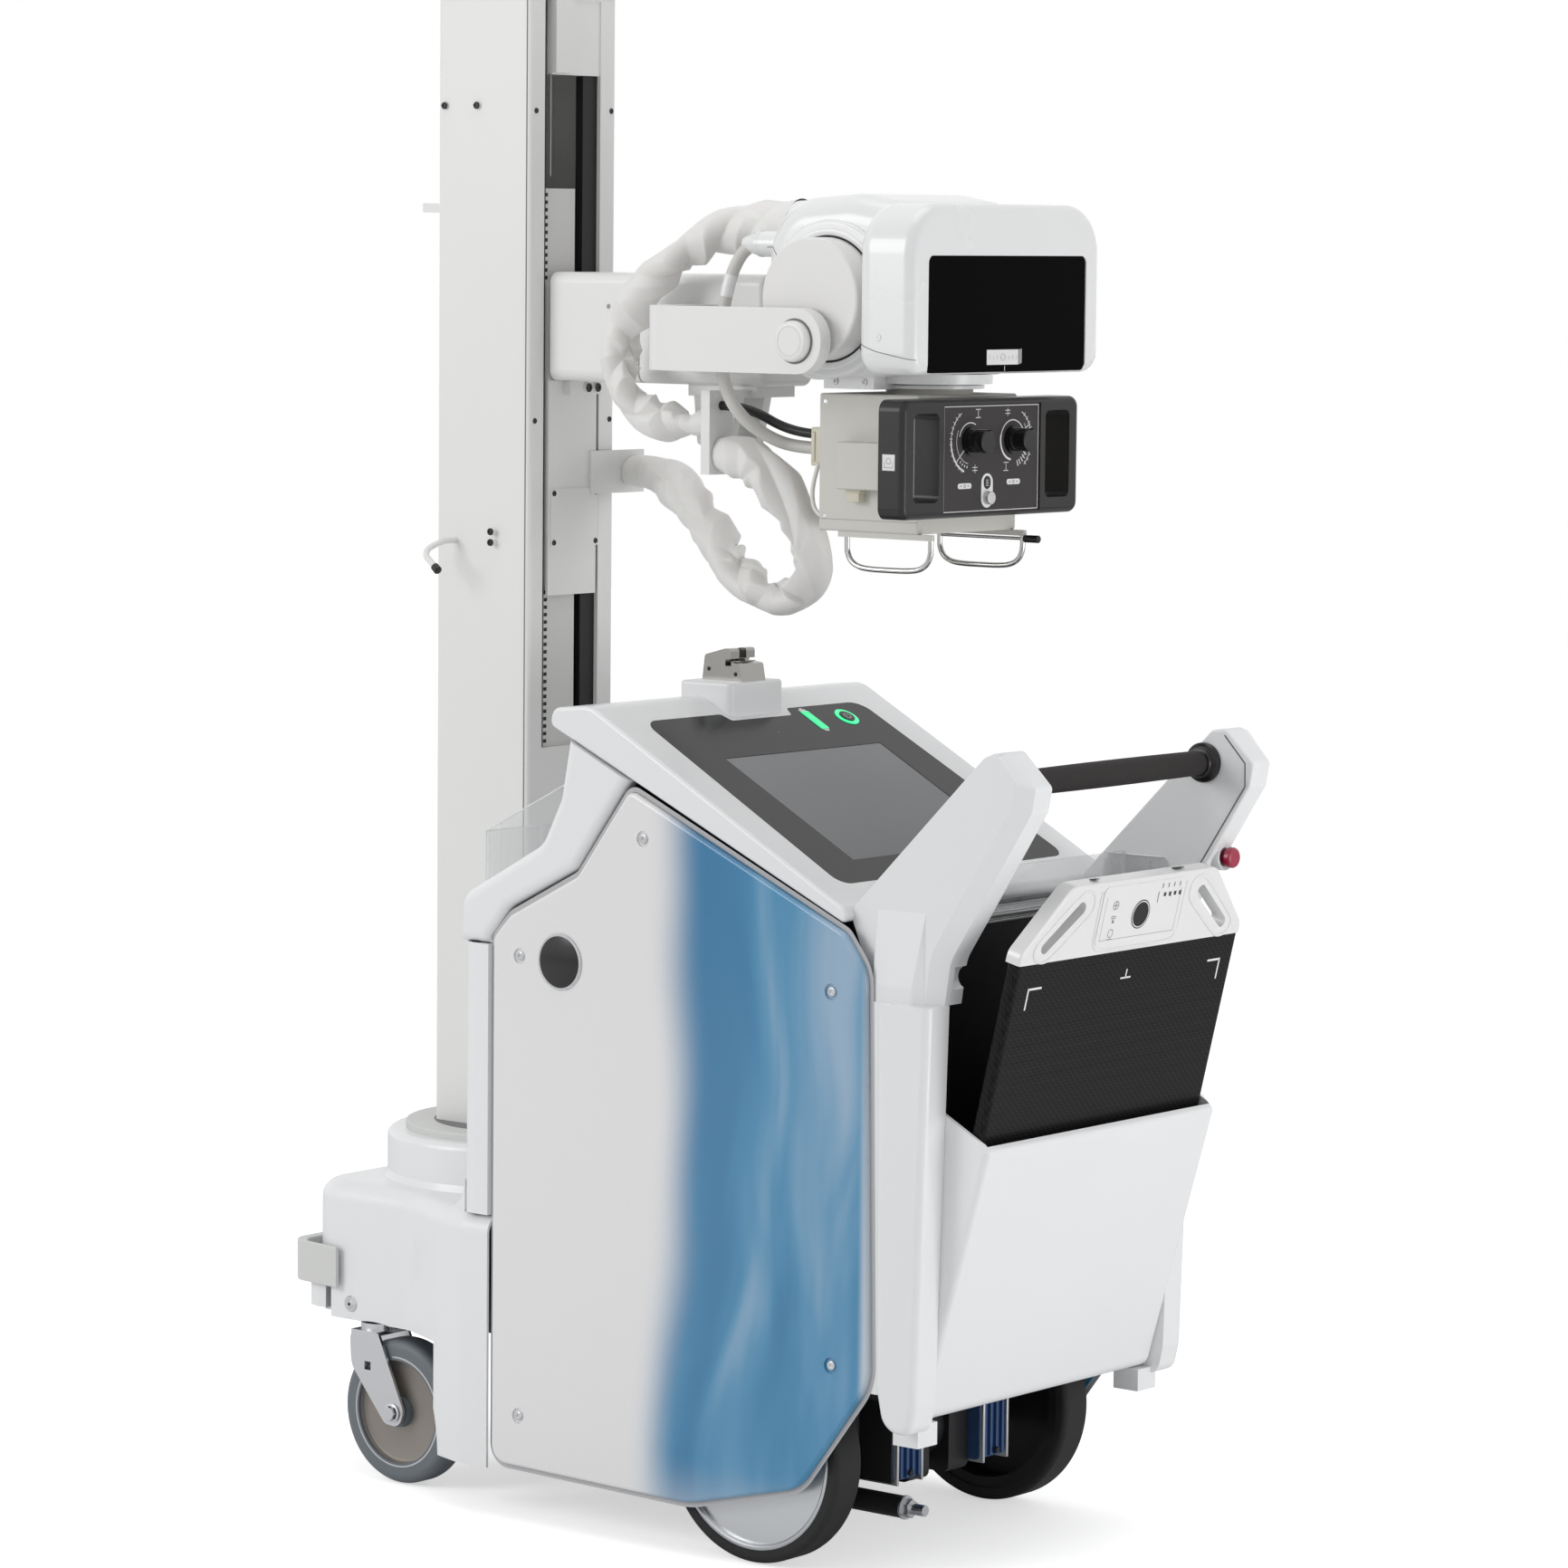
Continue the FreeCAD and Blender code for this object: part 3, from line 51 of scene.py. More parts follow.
def feed(tree, node, sockets):
    """Sets a node's inputs, each to a value or to a link from another node's socket."""
    for key, value in sockets.items():
        if isinstance(value, bpy.types.NodeSocket):
            tree.links.new(value, node.inputs[key])
        else:
            node.inputs[key].default_value = value


def add_node(tree, kind, sockets, **settings):
    made = tree.nodes.new(kind)
    for key, value in settings.items():
        setattr(made, key, value)
    feed(tree, made, sockets)
    return made


def add_math(tree, operation, *values):
    """The result of a sum on values or sockets."""
    return add_node(tree, "ShaderNodeMath", dict(enumerate(values)), operation=operation).outputs[0]


def add_mix(tree, factor, first, second, blend="MIX"):
    """The colour between two colours."""
    return add_node(tree, "ShaderNodeMix", {"Factor": factor, "A": first, "B": second}, data_type="RGBA",
                    blend_type=blend).outputs["Result"]


def add_range(tree, value, low, high, to_low=0.0, to_high=1.0, kind="LINEAR"):
    """A value carried from the span low to high over to another span."""
    spans = {"Value": value, "From Min": low, "From Max": high, "To Min": to_low, "To Max": to_high}
    return add_node(tree, "ShaderNodeMapRange", spans, interpolation_type=kind).outputs["Result"]


def object_place(tree):
    return tree.nodes.new("ShaderNodeTexCoord").outputs["Object"]


def grain_group():
    """Node group: grain scale, bump depth, roughness and its spread give roughness, normal, mottle."""
    group = bpy.data.node_groups.new("surface_grain", "ShaderNodeTree")
    face = group.interface
    for name, default in (("Scale", 400.0), ("Depth", 0.02), ("Rough", 0.4), ("Spread", 0.08)):
        face.new_socket(name, in_out="INPUT", socket_type="NodeSocketFloat").default_value = default
    for name, kind in (("Roughness", "Float"), ("Normal", "Vector"), ("Mottle", "Float")):
        face.new_socket(name, in_out="OUTPUT", socket_type=f"NodeSocket{kind}")
    given = group.nodes.new("NodeGroupInput").outputs
    place = object_place(group)
    fine = add_node(group, "ShaderNodeTexNoise", {"Vector": place, "Scale": given["Scale"], "Detail": 3.0})
    broad = add_node(group, "ShaderNodeTexNoise", {"Vector": place, "Scale": 4.0, "Detail": 5.0})
    bump = add_node(group, "ShaderNodeBump", {"Distance": 0.001, "Strength": given["Depth"],
                                              "Height": fine.outputs["Fac"]})
    centred = add_math(group, "SUBTRACT", broad.outputs["Fac"], 0.5)
    spread = add_math(group, "MULTIPLY_ADD", centred, given["Spread"], given["Rough"])
    add_node(group, "NodeGroupOutput", {"Roughness": spread, "Normal": bump.outputs["Normal"],
                                        "Mottle": broad.outputs["Fac"]})
    return group


GRAIN = grain_group()


def finish(name, colour, rough=0.4, metal=0.0, scale=400.0, depth=0.02, spread=0.08, shade=0.94,
           coat=0.0, shine=0.5, slot=None):
    """A plain material with the grain: its colour drifts to shade times itself with the mottle.

    The slot is the record's material slot for pieces of it, by default the one of the same name.
    """
    made = bpy.data.materials.new(name)
    made["slot"] = slot or name
    made.use_nodes = True
    tree = made.node_tree
    grain = add_node(tree, "ShaderNodeGroup", {}, node_tree=GRAIN)
    feed(tree, grain, {"Scale": scale, "Depth": depth, "Rough": rough, "Spread": spread})
    tint = add_mix(tree, grain.outputs["Mottle"], (*colour, 1), (*[c * shade for c in colour], 1))
    tint.node.name = "tint"
    feed(tree, skin_of(made), {"Metallic": metal, "Coat Weight": coat, "Coat Roughness": 0.12,
                               "Specular IOR Level": shine, "Roughness": grain.outputs["Roughness"],
                               "Normal": grain.outputs["Normal"], "Base Color": tint})
    return made


def skin_of(material):
    return material.node_tree.nodes["Principled BSDF"]


def tint_of(material):
    return material.node_tree.nodes["tint"].outputs["Result"]


def keep_edges(piece, degrees):
    """Leaves edges steeper than this sharp under smooth shading."""
    piece.modifiers.new("keep_edges", "EDGE_SPLIT").split_angle = math.radians(degrees)


def dress(material, *names):
    """Gives CAD nodes a material and smooth shading that keeps their real edges."""
    for name in names:
        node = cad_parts[name]
        node.data.materials.clear()
        node.data.materials.append(material)
        for face in node.data.polygons:
            face.use_smooth = True
        keep_edges(node, 28)


def placed(name, data, body):
    """A new object of some data that rides on a body."""
    piece = bpy.data.objects.new(name, data)
    bpy.context.scene.collection.objects.link(piece)
    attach(piece, body)
    return piece


def mesh_piece(name, body, vertices, faces, material, smooth=False):
    """A new piece from vertices and faces, in metres, that rides on a body."""
    data = bpy.data.meshes.new(name)
    data.from_pydata([tuple(v) for v in vertices], [], faces)
    data.materials.append(material)
    for face in data.polygons:
        face.use_smooth = smooth
    data.update()
    return placed(name, data, body)


cover_white = finish("cover_white", (0.83, 0.84, 0.85), rough=0.33, scale=700, depth=0.03, coat=0.25,
                     spread=0.06, shade=0.97)
dress(cover_white, "nose_cover", "body_cover", "upper_cover", "console_frame", "latch_base",
      "handle_arm_near", "handle_arm_far", "rear_frame", "bin_front")
bumper_grey = finish("bumper_grey", (0.66, 0.67, 0.655), rough=0.5, scale=900, depth=0.08)
dress(bumper_grey, "front_bumper", "column_collar")
chassis_paint = finish("chassis_paint", (0.055, 0.055, 0.06), rough=0.55, scale=300, depth=0.1, shine=0.25)
dress(chassis_paint, "chassis_frame")

# Side panels.
# A pearl panel on each side with a printed wash of blue that deepens to the rear. The print is
# soft upright veils that drift with height, in a layout of its own.


def panel_print():
    """The pearl finish with its wash: a drifting edge, upright veils and a paler foot and rim."""
    made = finish("panel_pearl", (0.79, 0.785, 0.79), rough=0.27, scale=600, depth=0.02, coat=0.4,
                  spread=0.0, shade=1.0)
    tree = made.node_tree
    place = object_place(tree)
    along, _, up = add_node(tree, "ShaderNodeSeparateXYZ", {"Vector": place}).outputs
    drift = add_node(tree, "ShaderNodeTexNoise", {"Vector": place, "Scale": 2.3, "Detail": 1.0})
    sway = add_math(tree, "MULTIPLY_ADD", drift.outputs["Fac"], 0.16, along)
    rise = add_range(tree, sway, 0.115, 0.225, kind="SMOOTHERSTEP")
    flow = add_node(tree, "ShaderNodeCombineXYZ", {"X": sway, "Z": add_math(tree, "MULTIPLY", up, 0.16)})
    veil = add_node(tree, "ShaderNodeTexNoise", {"Vector": flow.outputs[0], "Scale": 11.0, "Detail": 2.5,
                                                 "Distortion": 0.5})
    paler = add_range(tree, along, 0.1, 0.39, -0.2, 0.11)
    blues = add_node(tree, "ShaderNodeValToRGB", {"Fac": add_math(tree, "ADD", veil.outputs["Fac"], paler)})
    blues.color_ramp.interpolation = "B_SPLINE"
    stops = ((0.32, (0.03, 0.185, 0.37)), (0.47, (0.045, 0.24, 0.44)), (0.6, (0.12, 0.32, 0.51)),
             (0.76, (0.33, 0.46, 0.6)))
    ramp = blues.color_ramp.elements
    while len(ramp) < len(stops):
        ramp.new(0.5)
    for spot, (where, colour) in zip(ramp, stops):
        spot.position = where
        spot.color = (*colour, 1)
    foot = add_range(tree, up, 0.02, 0.13, 0.55, kind="SMOOTHSTEP")
    rim = add_range(tree, along, 0.385, 0.4, 1.0, 0.35, kind="SMOOTHSTEP")
    amount = add_math(tree, "MULTIPLY", rise, add_math(tree, "MULTIPLY", foot, rim))
    feed(tree, skin_of(made), {"Base Color": add_mix(tree, amount, tint_of(made), blues.outputs["Color"])})
    return made


panel_pearl = panel_print()
dress(panel_pearl, "side_panel_near", "side_panel_far")
screw_zinc = finish("screw_zinc", (0.62, 0.63, 0.65), rough=0.24, metal=1.0, scale=1200, depth=0.05)
dress(screw_zinc, "panel_screws", "tow_stud")
seal_grey = finish("seal_grey", (0.33, 0.33, 0.34), rough=0.6, scale=900, depth=0.05, slot="gear_black")


def rim_points(node, level):
    """The outline of a flat plate's face at one y, as (x, z) pairs in order round its middle."""
    found = {(round(v.co.x, 5), round(v.co.z, 5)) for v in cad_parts[node].data.vertices
             if abs(v.co.y - level) < 2e-5}
    middle_x = sum(p[0] for p in found) / len(found)
    middle_z = sum(p[1] for p in found) / len(found)
    return sorted(found, key=lambda p: math.atan2(p[1] - middle_z, p[0] - middle_x))


def groove_strip(name, node, side, inner, outer):
    """A flat strip that follows a panel's edge, from inner to outer metres outside it."""
    plate_lo, plate_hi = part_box(node)
    back = plate_hi.y if side < 0 else plate_lo.y
    edge = [Vector((x, 0, z)) for x, z in rim_points(node, back)]
    count = len(edge)
    vertices, faces = [], []
    for i, spot in enumerate(edge):
        along = (edge[(i + 1) % count] - edge[i - 1]).normalized()
        away = Vector((along.z, 0, -along.x))
        for gap in (inner, outer):
            vertices.append((spot + away * gap) + Vector((0, back + side * 0.0003, 0)))
    for i in range(count):
        a, b = 2 * i, 2 * ((i + 1) % count)
        faces.append((a, b, b + 1, a + 1))
    return mesh_piece(name, "cart", vertices, faces, groove_grey)


groove_grey = finish("groove_grey", (0.5, 0.5, 0.51), rough=0.55, scale=900, depth=0.05, slot="bumper_grey")
groove_strip("groove_near", "side_panel_near", -1, 0.0004, 0.0066)
groove_strip("groove_far", "side_panel_far", 1, 0.0004, 0.0066)

# Chassis details.
# A blank badge sits on each side. Black gearboxes and finned blue motors with bright end plates show
# between the wheels, and a key lock sits beside the bumper.


def face_outward(data, merge=0.0):
    """Joins a mesh's doubled points, where asked, and turns its faces outward."""
    shape = bmesh.new()
    shape.from_mesh(data)
    if merge:
        bmesh.ops.remove_doubles(shape, verts=shape.verts, dist=merge)
    bmesh.ops.recalc_face_normals(shape, faces=shape.faces)
    shape.to_mesh(data)
    shape.free()


def lathe(name, body, centre, axis, profile, material, steps=56):
    """Turns (radius, height) points, in metres, about an axis through centre."""
    axis = Vector(axis).normalized()
    side = axis.orthogonal().normalized()
    across = axis.cross(side)
    vertices, faces = [], []
    for radius, height in profile:
        for i in range(steps):
            angle = math.tau * i / steps
            round_at = side * math.cos(angle) + across * math.sin(angle)
            vertices.append(Vector(centre) + axis * height + round_at * radius)
    for row in range(len(profile) - 1):
        for i in range(steps):
            j = (i + 1) % steps
            a = row * steps
            faces.append((a + i, a + j, a + steps + j, a + steps + i))
    piece = mesh_piece(name, body, vertices, faces, material, smooth=True)
    face_outward(piece.data, 1e-6)
    keep_edges(piece, 32)
    return piece


def block(name, body, low, high, material, edge=0.001):
    """A box between two corners, in metres, with rounded edges."""
    solid = bmesh.new()
    bmesh.ops.create_cube(solid, size=1.0)
    bmesh.ops.scale(solid, vec=Vector(high) - Vector(low), verts=solid.verts)
    bmesh.ops.translate(solid, vec=(Vector(high) + Vector(low)) / 2, verts=solid.verts)
    if edge:
        bmesh.ops.bevel(solid, geom=list(solid.edges), offset=edge, segments=3, profile=0.5,
                        affect="EDGES")
    data = bpy.data.meshes.new(name)
    solid.to_mesh(data)
    solid.free()
    data.materials.append(material)
    for face in data.polygons:
        face.use_smooth = True
    piece = placed(name, data, body)
    keep_edges(piece, 35)
    return piece


def new_curve(name, radius, material, roundness=3):
    """An empty curve with a round section."""
    curve = bpy.data.curves.new(name, "CURVE")
    curve.dimensions = "3D"
    curve.bevel_depth = radius
    curve.bevel_resolution = roundness
    curve.materials.append(material)
    return curve


def add_spline(curve, points, smooth=False, closed=False):
    """A run through points, or a smooth line with them as its control points."""
    spline = curve.splines.new("NURBS" if smooth else "POLY")
    spline.points.add(len(points) - 1)
    for spot, place in zip(spline.points, points):
        spot.co = (*place, 1)
    if smooth:
        spline.order_u = 3
        spline.use_endpoint_u = not closed
    spline.use_cyclic_u = closed
    return spline


def thread(name, body, points, radius, material, closed=False, smooth=False):
    """A round strand through points, in metres: a seam, wire, rope or small hose."""
    curve = new_curve(name, radius, material)
    add_spline(curve, points, smooth, closed)
    return placed(name, curve, body)


SIDES = ((-1, "near"), (1, "far"))
badge_black = finish("badge_black", (0.015, 0.015, 0.016), rough=0.3, scale=500, depth=0.02, coat=0.2,
                     shine=0.3, slot="screw_zinc")
for side, word in SIDES:
    badge_spot = (-0.092, side * 0.2795, 0.7205)
    lathe(f"badge_{word}", "cart", badge_spot, (0, side, 0),
          [(0, 0.0009), (0.0315, 0.0009), (0.0322, 0.0006), (0.0325, 0.0002)], badge_black, 72)
    lathe(f"badge_ring_{word}", "cart", badge_spot, (0, side, 0),
          [(0.0322, 0.0004), (0.0326, 0.0011), (0.0345, 0.0011), (0.0352, 0.0005), (0.0353, 0.0)],
          screw_zinc, steps=72)
motor_blue = finish("motor_blue", (0.035, 0.085, 0.21), rough=0.42, metal=0.35, scale=900, depth=0.15)
gear_black = finish("gear_black", (0.018, 0.018, 0.019), rough=0.36, scale=500, depth=0.1, shine=0.25)
end_silver = finish("end_silver", (0.55, 0.56, 0.58), rough=0.35, metal=0.9, scale=900, depth=0.1,
                    slot="screw_zinc")
dress(motor_blue, "drive_motors")
dress(gear_black, "drive_gearboxes")
for side, word in SIDES:
    for i, y in enumerate((0.0615, 0.1105)):
        block(f"motor_end_{word}_{i}", "cart", (0.2205, min(side * y, side * (y + 0.004)), 0.0885),
              (0.3235, max(side * y, side * (y + 0.004)), 0.1875), end_silver, edge=0.0012)
    for i, z in enumerate((0.102, 0.174)):
        lathe(f"motor_bolt_{word}_{i}", "cart", (0.3235, side * 0.0885, z), (1, 0, 0),
              [(0, 0.003), (0.0035, 0.003), (0.004, 0.0022), (0.004, 0)], gear_black, steps=20)
key_spot = (-0.503, -0.2222, 0.227)
lathe("key_lock", "cart", key_spot, (0, -1, 0),
      [(0, 0.0035), (0.0045, 0.0035), (0.0062, 0.002), (0.0095, 0.002), (0.0105, 0.0008),
       (0.0105, -0.004)], screw_zinc, steps=40)
lathe("key_lock_slot", "cart", key_spot, (0, -1, 0),
      [(0, 0.0039), (0.0021, 0.0039), (0.0021, 0.003)], gear_black, steps=20)

# Console.
# A black glass bezel with rounded corners carries the screen, a lit battery bar and a lit power
# ring. The white frame rises round it, and the two meet in a thin dark line.

SLOPE = math.radians(28.35)


def on_console(down, across, lift):
    """A point by its distance down the slope, its y and its height off the glass, in metres."""
    return Vector((-0.012 + down * math.cos(SLOPE) + lift * math.sin(SLOPE), across,
                   1.022 - down * math.sin(SLOPE) + lift * math.cos(SLOPE)))


def print_flat(name, body, place, shapes, material):
    """Flat printed marks: each shape is a list of (u, v) corners that place() puts in the frame."""
    vertices, faces = [], []
    for shape in shapes:
        start = len(vertices)
        vertices.extend(place(u, v) for u, v in shape)
        faces.append(tuple(range(start, len(vertices))))
    return mesh_piece(name, body, vertices, faces, material)


def flat_at(x):
    """A place for marks on a face that looks along x, with u as y and v as z."""
    return lambda u, v: Vector((x, u, v))


def stroke(u0, v0, u1, v1, width):
    """The four corners of a printed line."""
    along = Vector((u1 - u0, v1 - v0)).normalized() * width / 2
    side = Vector((-along.y, along.x))
    return [(u0 + side.x, v0 + side.y), (u1 + side.x, v1 + side.y),
            (u1 - side.x, v1 - side.y), (u0 - side.x, v0 - side.y)]


def strokes(width, *ends):
    """Printed lines of one width, each from its ends (u0, v0, u1, v1)."""
    return [stroke(*pair, width) for pair in ends]


def arc_strokes(u, v, radius, width, start, end, steps=32):
    """A printed arc as short strokes, angles in degrees."""
    shapes = []
    for i in range(steps):
        a = math.radians(start + (end - start) * i / steps)
        b = math.radians(start + (end - start) * (i + 1) / steps)
        shapes.append([(u + r * math.cos(t), v + r * math.sin(t))
                       for r, t in ((radius - width / 2, a), (radius + width / 2, a),
                                    (radius + width / 2, b), (radius - width / 2, b))])
    return shapes


def pill(u, v, half_u, half_v, steps=10):
    """A label's outline with fully round ends along u."""
    shape = []
    for centre, start in ((u + half_u - half_v, -90), (u - half_u + half_v, 90)):
        for i in range(steps + 1):
            t = math.radians(start + 180 * i / steps)
            shape.append((centre + half_v * math.cos(t), v + half_v * math.sin(t)))
    return shape


black_gloss = finish("black_gloss", (0.012, 0.012, 0.013), rough=0.2, scale=300, depth=0.01, coat=0.08,
                     spread=0.05, shine=0.16)
dress(black_gloss, "console_bezel", "power_button", "head_display")
print_white = finish("print_white", (0.8, 0.8, 0.8), rough=0.5, scale=800, depth=0.02, slot="bumper_grey")
lamp_green = finish("lamp_green", (0.02, 0.55, 0.2), rough=0.3, scale=300, depth=0.01)
feed(lamp_green.node_tree, skin_of(lamp_green),
     {"Emission Color": (0.05, 1, 0.4, 1), "Emission Strength": 0.75})
dress(lamp_green, "power_ring")


def screen_glass():
    """Grey glass that turns paler towards its top edge, a painted reflection of the bright room above."""
    made = finish("screen_grey", (0.115, 0.12, 0.125), rough=0.3, scale=900, depth=0.01, coat=0.2,
                  shine=0.2)
    tree = made.node_tree
    along = add_node(tree, "ShaderNodeSeparateXYZ", {"Vector": object_place(tree)}).outputs["X"]
    painted_reflection = add_range(tree, along, 0.06, 0.3, 1.0, 0.0)
    feed(tree, skin_of(made), {"Base Color": add_mix(tree, painted_reflection, tint_of(made), (0.2, 0.205, 0.215, 1))})
    return made


dress(screen_glass(), "console_screen")
battery = [[(0.0062, 0.0825), (0.0115, 0.0825), (0.0115, 0.0955), (0.0062, 0.0955)],
           [(0.0035, 0.086), (0.0062, 0.086), (0.0062, 0.092), (0.0035, 0.092)],
           [(0.0525, 0.0825), (0.058, 0.086), (0.058, 0.092), (0.0525, 0.0955)]]
print_flat("battery_ends", "cart", lambda u, v: on_console(u, v, 0.0017), battery, print_white)
print_flat("battery_bars", "cart", lambda u, v: on_console(u, v, 0.0028),
           [stroke(0.016 + 0.004 * i, 0.0825, 0.016 + 0.004 * i, 0.0955, 0.0005) for i in range(9)],
           gear_black)
symbol = arc_strokes(0.032, 0.155, 0.0052, 0.0009, -150, 150)
symbol += strokes(0.0009, (0.0245, 0.155, 0.0315, 0.155))
print_flat("power_symbol", "power_key", lambda u, v: on_console(u, v, 0.0039), symbol, print_white)
lathe("microphone_hole", "cart", on_console(0.05, -0.004, 0.0012), on_console(0, 0, 1) - on_console(0, 0, 0),
      [(0, 0.0006), (0.0013, 0.0006)], seal_grey, 16)

# Parking latch.
# A brushed steel claw stands on the console's block and holds the arm's pin in transport. Its two
# halves part at the throat, where a dark roller shows.

latch_steel = finish("latch_steel", (0.36, 0.35, 0.335), rough=0.24, metal=1.0, scale=1500, depth=0.1,
                     spread=0.18)
dress(latch_steel, "park_latch", "arm_tube")
lathe("latch_roller", "cart", (-0.0345, -0.0062, 1.0862), (0, 1, 0),
      [(0, 0), (0.0034, 0), (0.0034, 0.0124), (0, 0.0124)], gear_black, steps=24)
for i, (x, z) in enumerate(((-0.066, 1.076), (-0.022, 1.071))):
    lathe(f"latch_pin_{i}", "cart", (x, -0.0238, z), (0, -1, 0),
          [(0, 0.0011), (0.0022, 0.0011), (0.0027, 0.0006), (0.0027, 0)], gear_black, steps=20)

# Grip bar and arms.
# The foam grip swells a little towards its middle and sits between two turned black flanges.

grip_foam = finish("grip_foam", (0.032, 0.028, 0.028), rough=0.72, scale=1600, depth=0.35, spread=0.12,
                   shade=0.8, shine=0.2)
seam_dark = finish("seam_dark", (0.12, 0.12, 0.12), rough=0.6, scale=600, depth=0.05, shine=0.2,
                   slot="gear_black")
flange_black = finish("flange_black", (0.01, 0.01, 0.01), rough=0.3, scale=500, depth=0.03, coat=0.1,
                      shine=0.3, slot="black_gloss")
bar_x, bar_z = 0.542, 0.981
swell = [(0.0155 + 0.0009 * math.cos(math.pi * t / 20), 0.0094 * t * 2) for t in range(-10, 11)]
lathe("grip_foam", "cart", (bar_x, 0, bar_z), (0, 1, 0), [(0.0145, -0.196)] + swell + [(0.0145, 0.196)],
      grip_foam)
for side, word in SIDES:
    flange = lathe(f"grip_flange_{word}", "cart", (bar_x, side * 0.208, bar_z), (0, -side, 0),
                   [(0.0249, 0), (0.0249, 0.0052), (0.0236, 0.0072), (0.021, 0.0088), (0.0188, 0.0096),
                    (0.0182, 0.0135), (0.0172, 0.0148), (0.0148, 0.0152)], flange_black)
    if side < 0:
        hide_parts("grip_bar")

gasket = [(0.572, 1.0165), (0.603, 0.9835), (0.6035, 0.9545), (0.5245, 0.833)]
thread("arm_gasket", "cart", [(x, 0.2079, z) for x, z in gasket], 0.0009, seam_dark)

# Bin and detector.
# The bin's inside is black sheet with a bright folded edge. The detector is a carbon weave tray
# with a white moulded handle, corner marks, dark contacts and small printed symbols.


def weave():
    """Twill carbon: small turned cells in two blacks under a slanted wave."""
    made = finish("carbon_weave", (0.02, 0.02, 0.021), rough=0.32, scale=900, depth=0.05, coat=0.03,
                  shine=0.1)
    tree = made.node_tree
    place = object_place(tree)
    lay = add_node(tree, "ShaderNodeMapping", {"Vector": place, "Rotation": (math.radians(45), 0, 0)})
    cells = add_node(tree, "ShaderNodeTexChecker", {"Vector": lay.outputs["Vector"], "Scale": 420.0,
                                                    "Color1": (0.005, 0.005, 0.005, 1),
                                                    "Color2": (0.02, 0.02, 0.021, 1)})
    slant = add_node(tree, "ShaderNodeTexWave", {"Vector": place, "Scale": 62.0},
                     bands_direction="DIAGONAL")
    both = add_mix(tree, 0.45, cells.outputs["Color"], slant.outputs["Color"], "MULTIPLY")
    feed(tree, skin_of(made), {"Base Color": both})
    return made


liner_black = finish("liner_black", (0.008, 0.008, 0.008), rough=0.38, scale=500, depth=0.04, shine=0.2)
dress(liner_black, "bin_liner")
dress(weave(), "detector_panel")
handle_white = finish("handle_white", (0.82, 0.82, 0.82), rough=0.28, scale=700, depth=0.02, coat=0.4,
                      slot="bumper_grey")
dress(handle_white, "detector_handle")
edge_steel = finish("edge_steel", (0.42, 0.41, 0.4), rough=0.32, metal=1.0, scale=1200, depth=0.06,
                    slot="screw_zinc")
block("bin_edge", "cart", (0.3765, -0.2072, 0.7921), (0.3838, 0.2072, 0.8012), edge_steel,
      0.0007)
LEAN = math.radians(13.4)


def on_detector(across, up, lift):
    """A point by its y, its height under the top edge and its lift off the panel's face."""
    return Vector((0.605 + lift * math.cos(LEAN) + up * math.sin(LEAN), across,
                   0.860 - lift * math.sin(LEAN) + up * math.cos(LEAN)))


for side, word in SIDES:
    rim = [(-0.206, -0.0735), (-0.2, -0.088), (-0.18, -0.0925), (-0.165, -0.085), (-0.112, -0.0455),
           (-0.0985, -0.034), (-0.1, -0.013), (-0.117, -0.007), (-0.132, -0.0125), (-0.19, -0.059)]
    rim = [on_detector(-side * u, v, 0.0006) for u, v in rim]
    thread(f"handle_rim_{word}", "detector", rim, 0.0022, handle_white, closed=True, smooth=True)
pad = [(-0.088, -0.012), (-0.088, -0.068), (-0.084, -0.0835), (-0.068, -0.0875), (0, -0.088)]
pad += [(-u, v) for u, v in reversed(pad[:4])]
thread("handle_pad_edge", "detector", [on_detector(u, v, 0.0006) for u, v in pad], 0.002, handle_white,
       smooth=True)
for i, (u0, u1) in enumerate(((-0.098, -0.086), (0.072, 0.09))):
    low, high = on_detector(u0, 0.0, -0.015), on_detector(u1, 0.0, -0.008)
    block(f"handle_contact_{i}", "detector", (low.x, low.y, 0.8638), (high.x, high.y, 0.8646), gear_black,
          edge=0.0002)
marks = []
for side in (-1, 1):
    corner, top, arm, wide = side * 0.198, -0.124, 0.026, 0.0028
    marks += strokes(wide, (corner, top, corner - side * arm, top),
                     (corner, top + wide / 2, corner, top - arm))
marks += strokes(0.0022, (-0.0105, -0.1285, 0.0105, -0.1285), (0, -0.1285, 0, -0.1175))
print_flat("detector_marks", "detector", lambda u, v: on_detector(u, v, 0.0003), marks, print_white)
icons = arc_strokes(-0.056, -0.0305, 0.0052, 0.0008, 0, 360)
icons += arc_strokes(-0.056, -0.066, 0.005, 0.0007, 0, 360)
icons += strokes(0.0008, (-0.056, -0.0345, -0.056, -0.0265), (-0.06, -0.0305, -0.052, -0.0305))
for ring in (0.0025, 0.005, 0.0075):
    icons += arc_strokes(-0.056, -0.0515, ring, 0.0007, 45, 135, 8)
icons.append([(-0.0578, -0.0528), (-0.0542, -0.0528), (-0.0542, -0.0505), (-0.0578, -0.0505)])
icons += strokes(0.0007, (-0.061, -0.0735, -0.051, -0.0735))
icons += strokes(0.0016, *((0.036 + 0.012 * i, -0.0105, 0.036 + 0.012 * i, -0.0165) for i in range(4)))
icons += strokes(0.0012, (0.03, -0.0205, 0.03, -0.0345))
for i in range(4):
    u = 0.041 + 0.0105 * i
    icons += [[(u, -0.0225), (u + 0.005, -0.0225), (u + 0.005, -0.0275 - 0.0012 * (i % 2)), (u, -0.0275)]]
ink = finish("ink", (0.05, 0.05, 0.055), rough=0.6, scale=800, depth=0.02, shine=0.3, slot="gear_black")
print_flat("detector_icons", "detector", lambda u, v: on_detector(u, v, 0.0026), icons, ink)
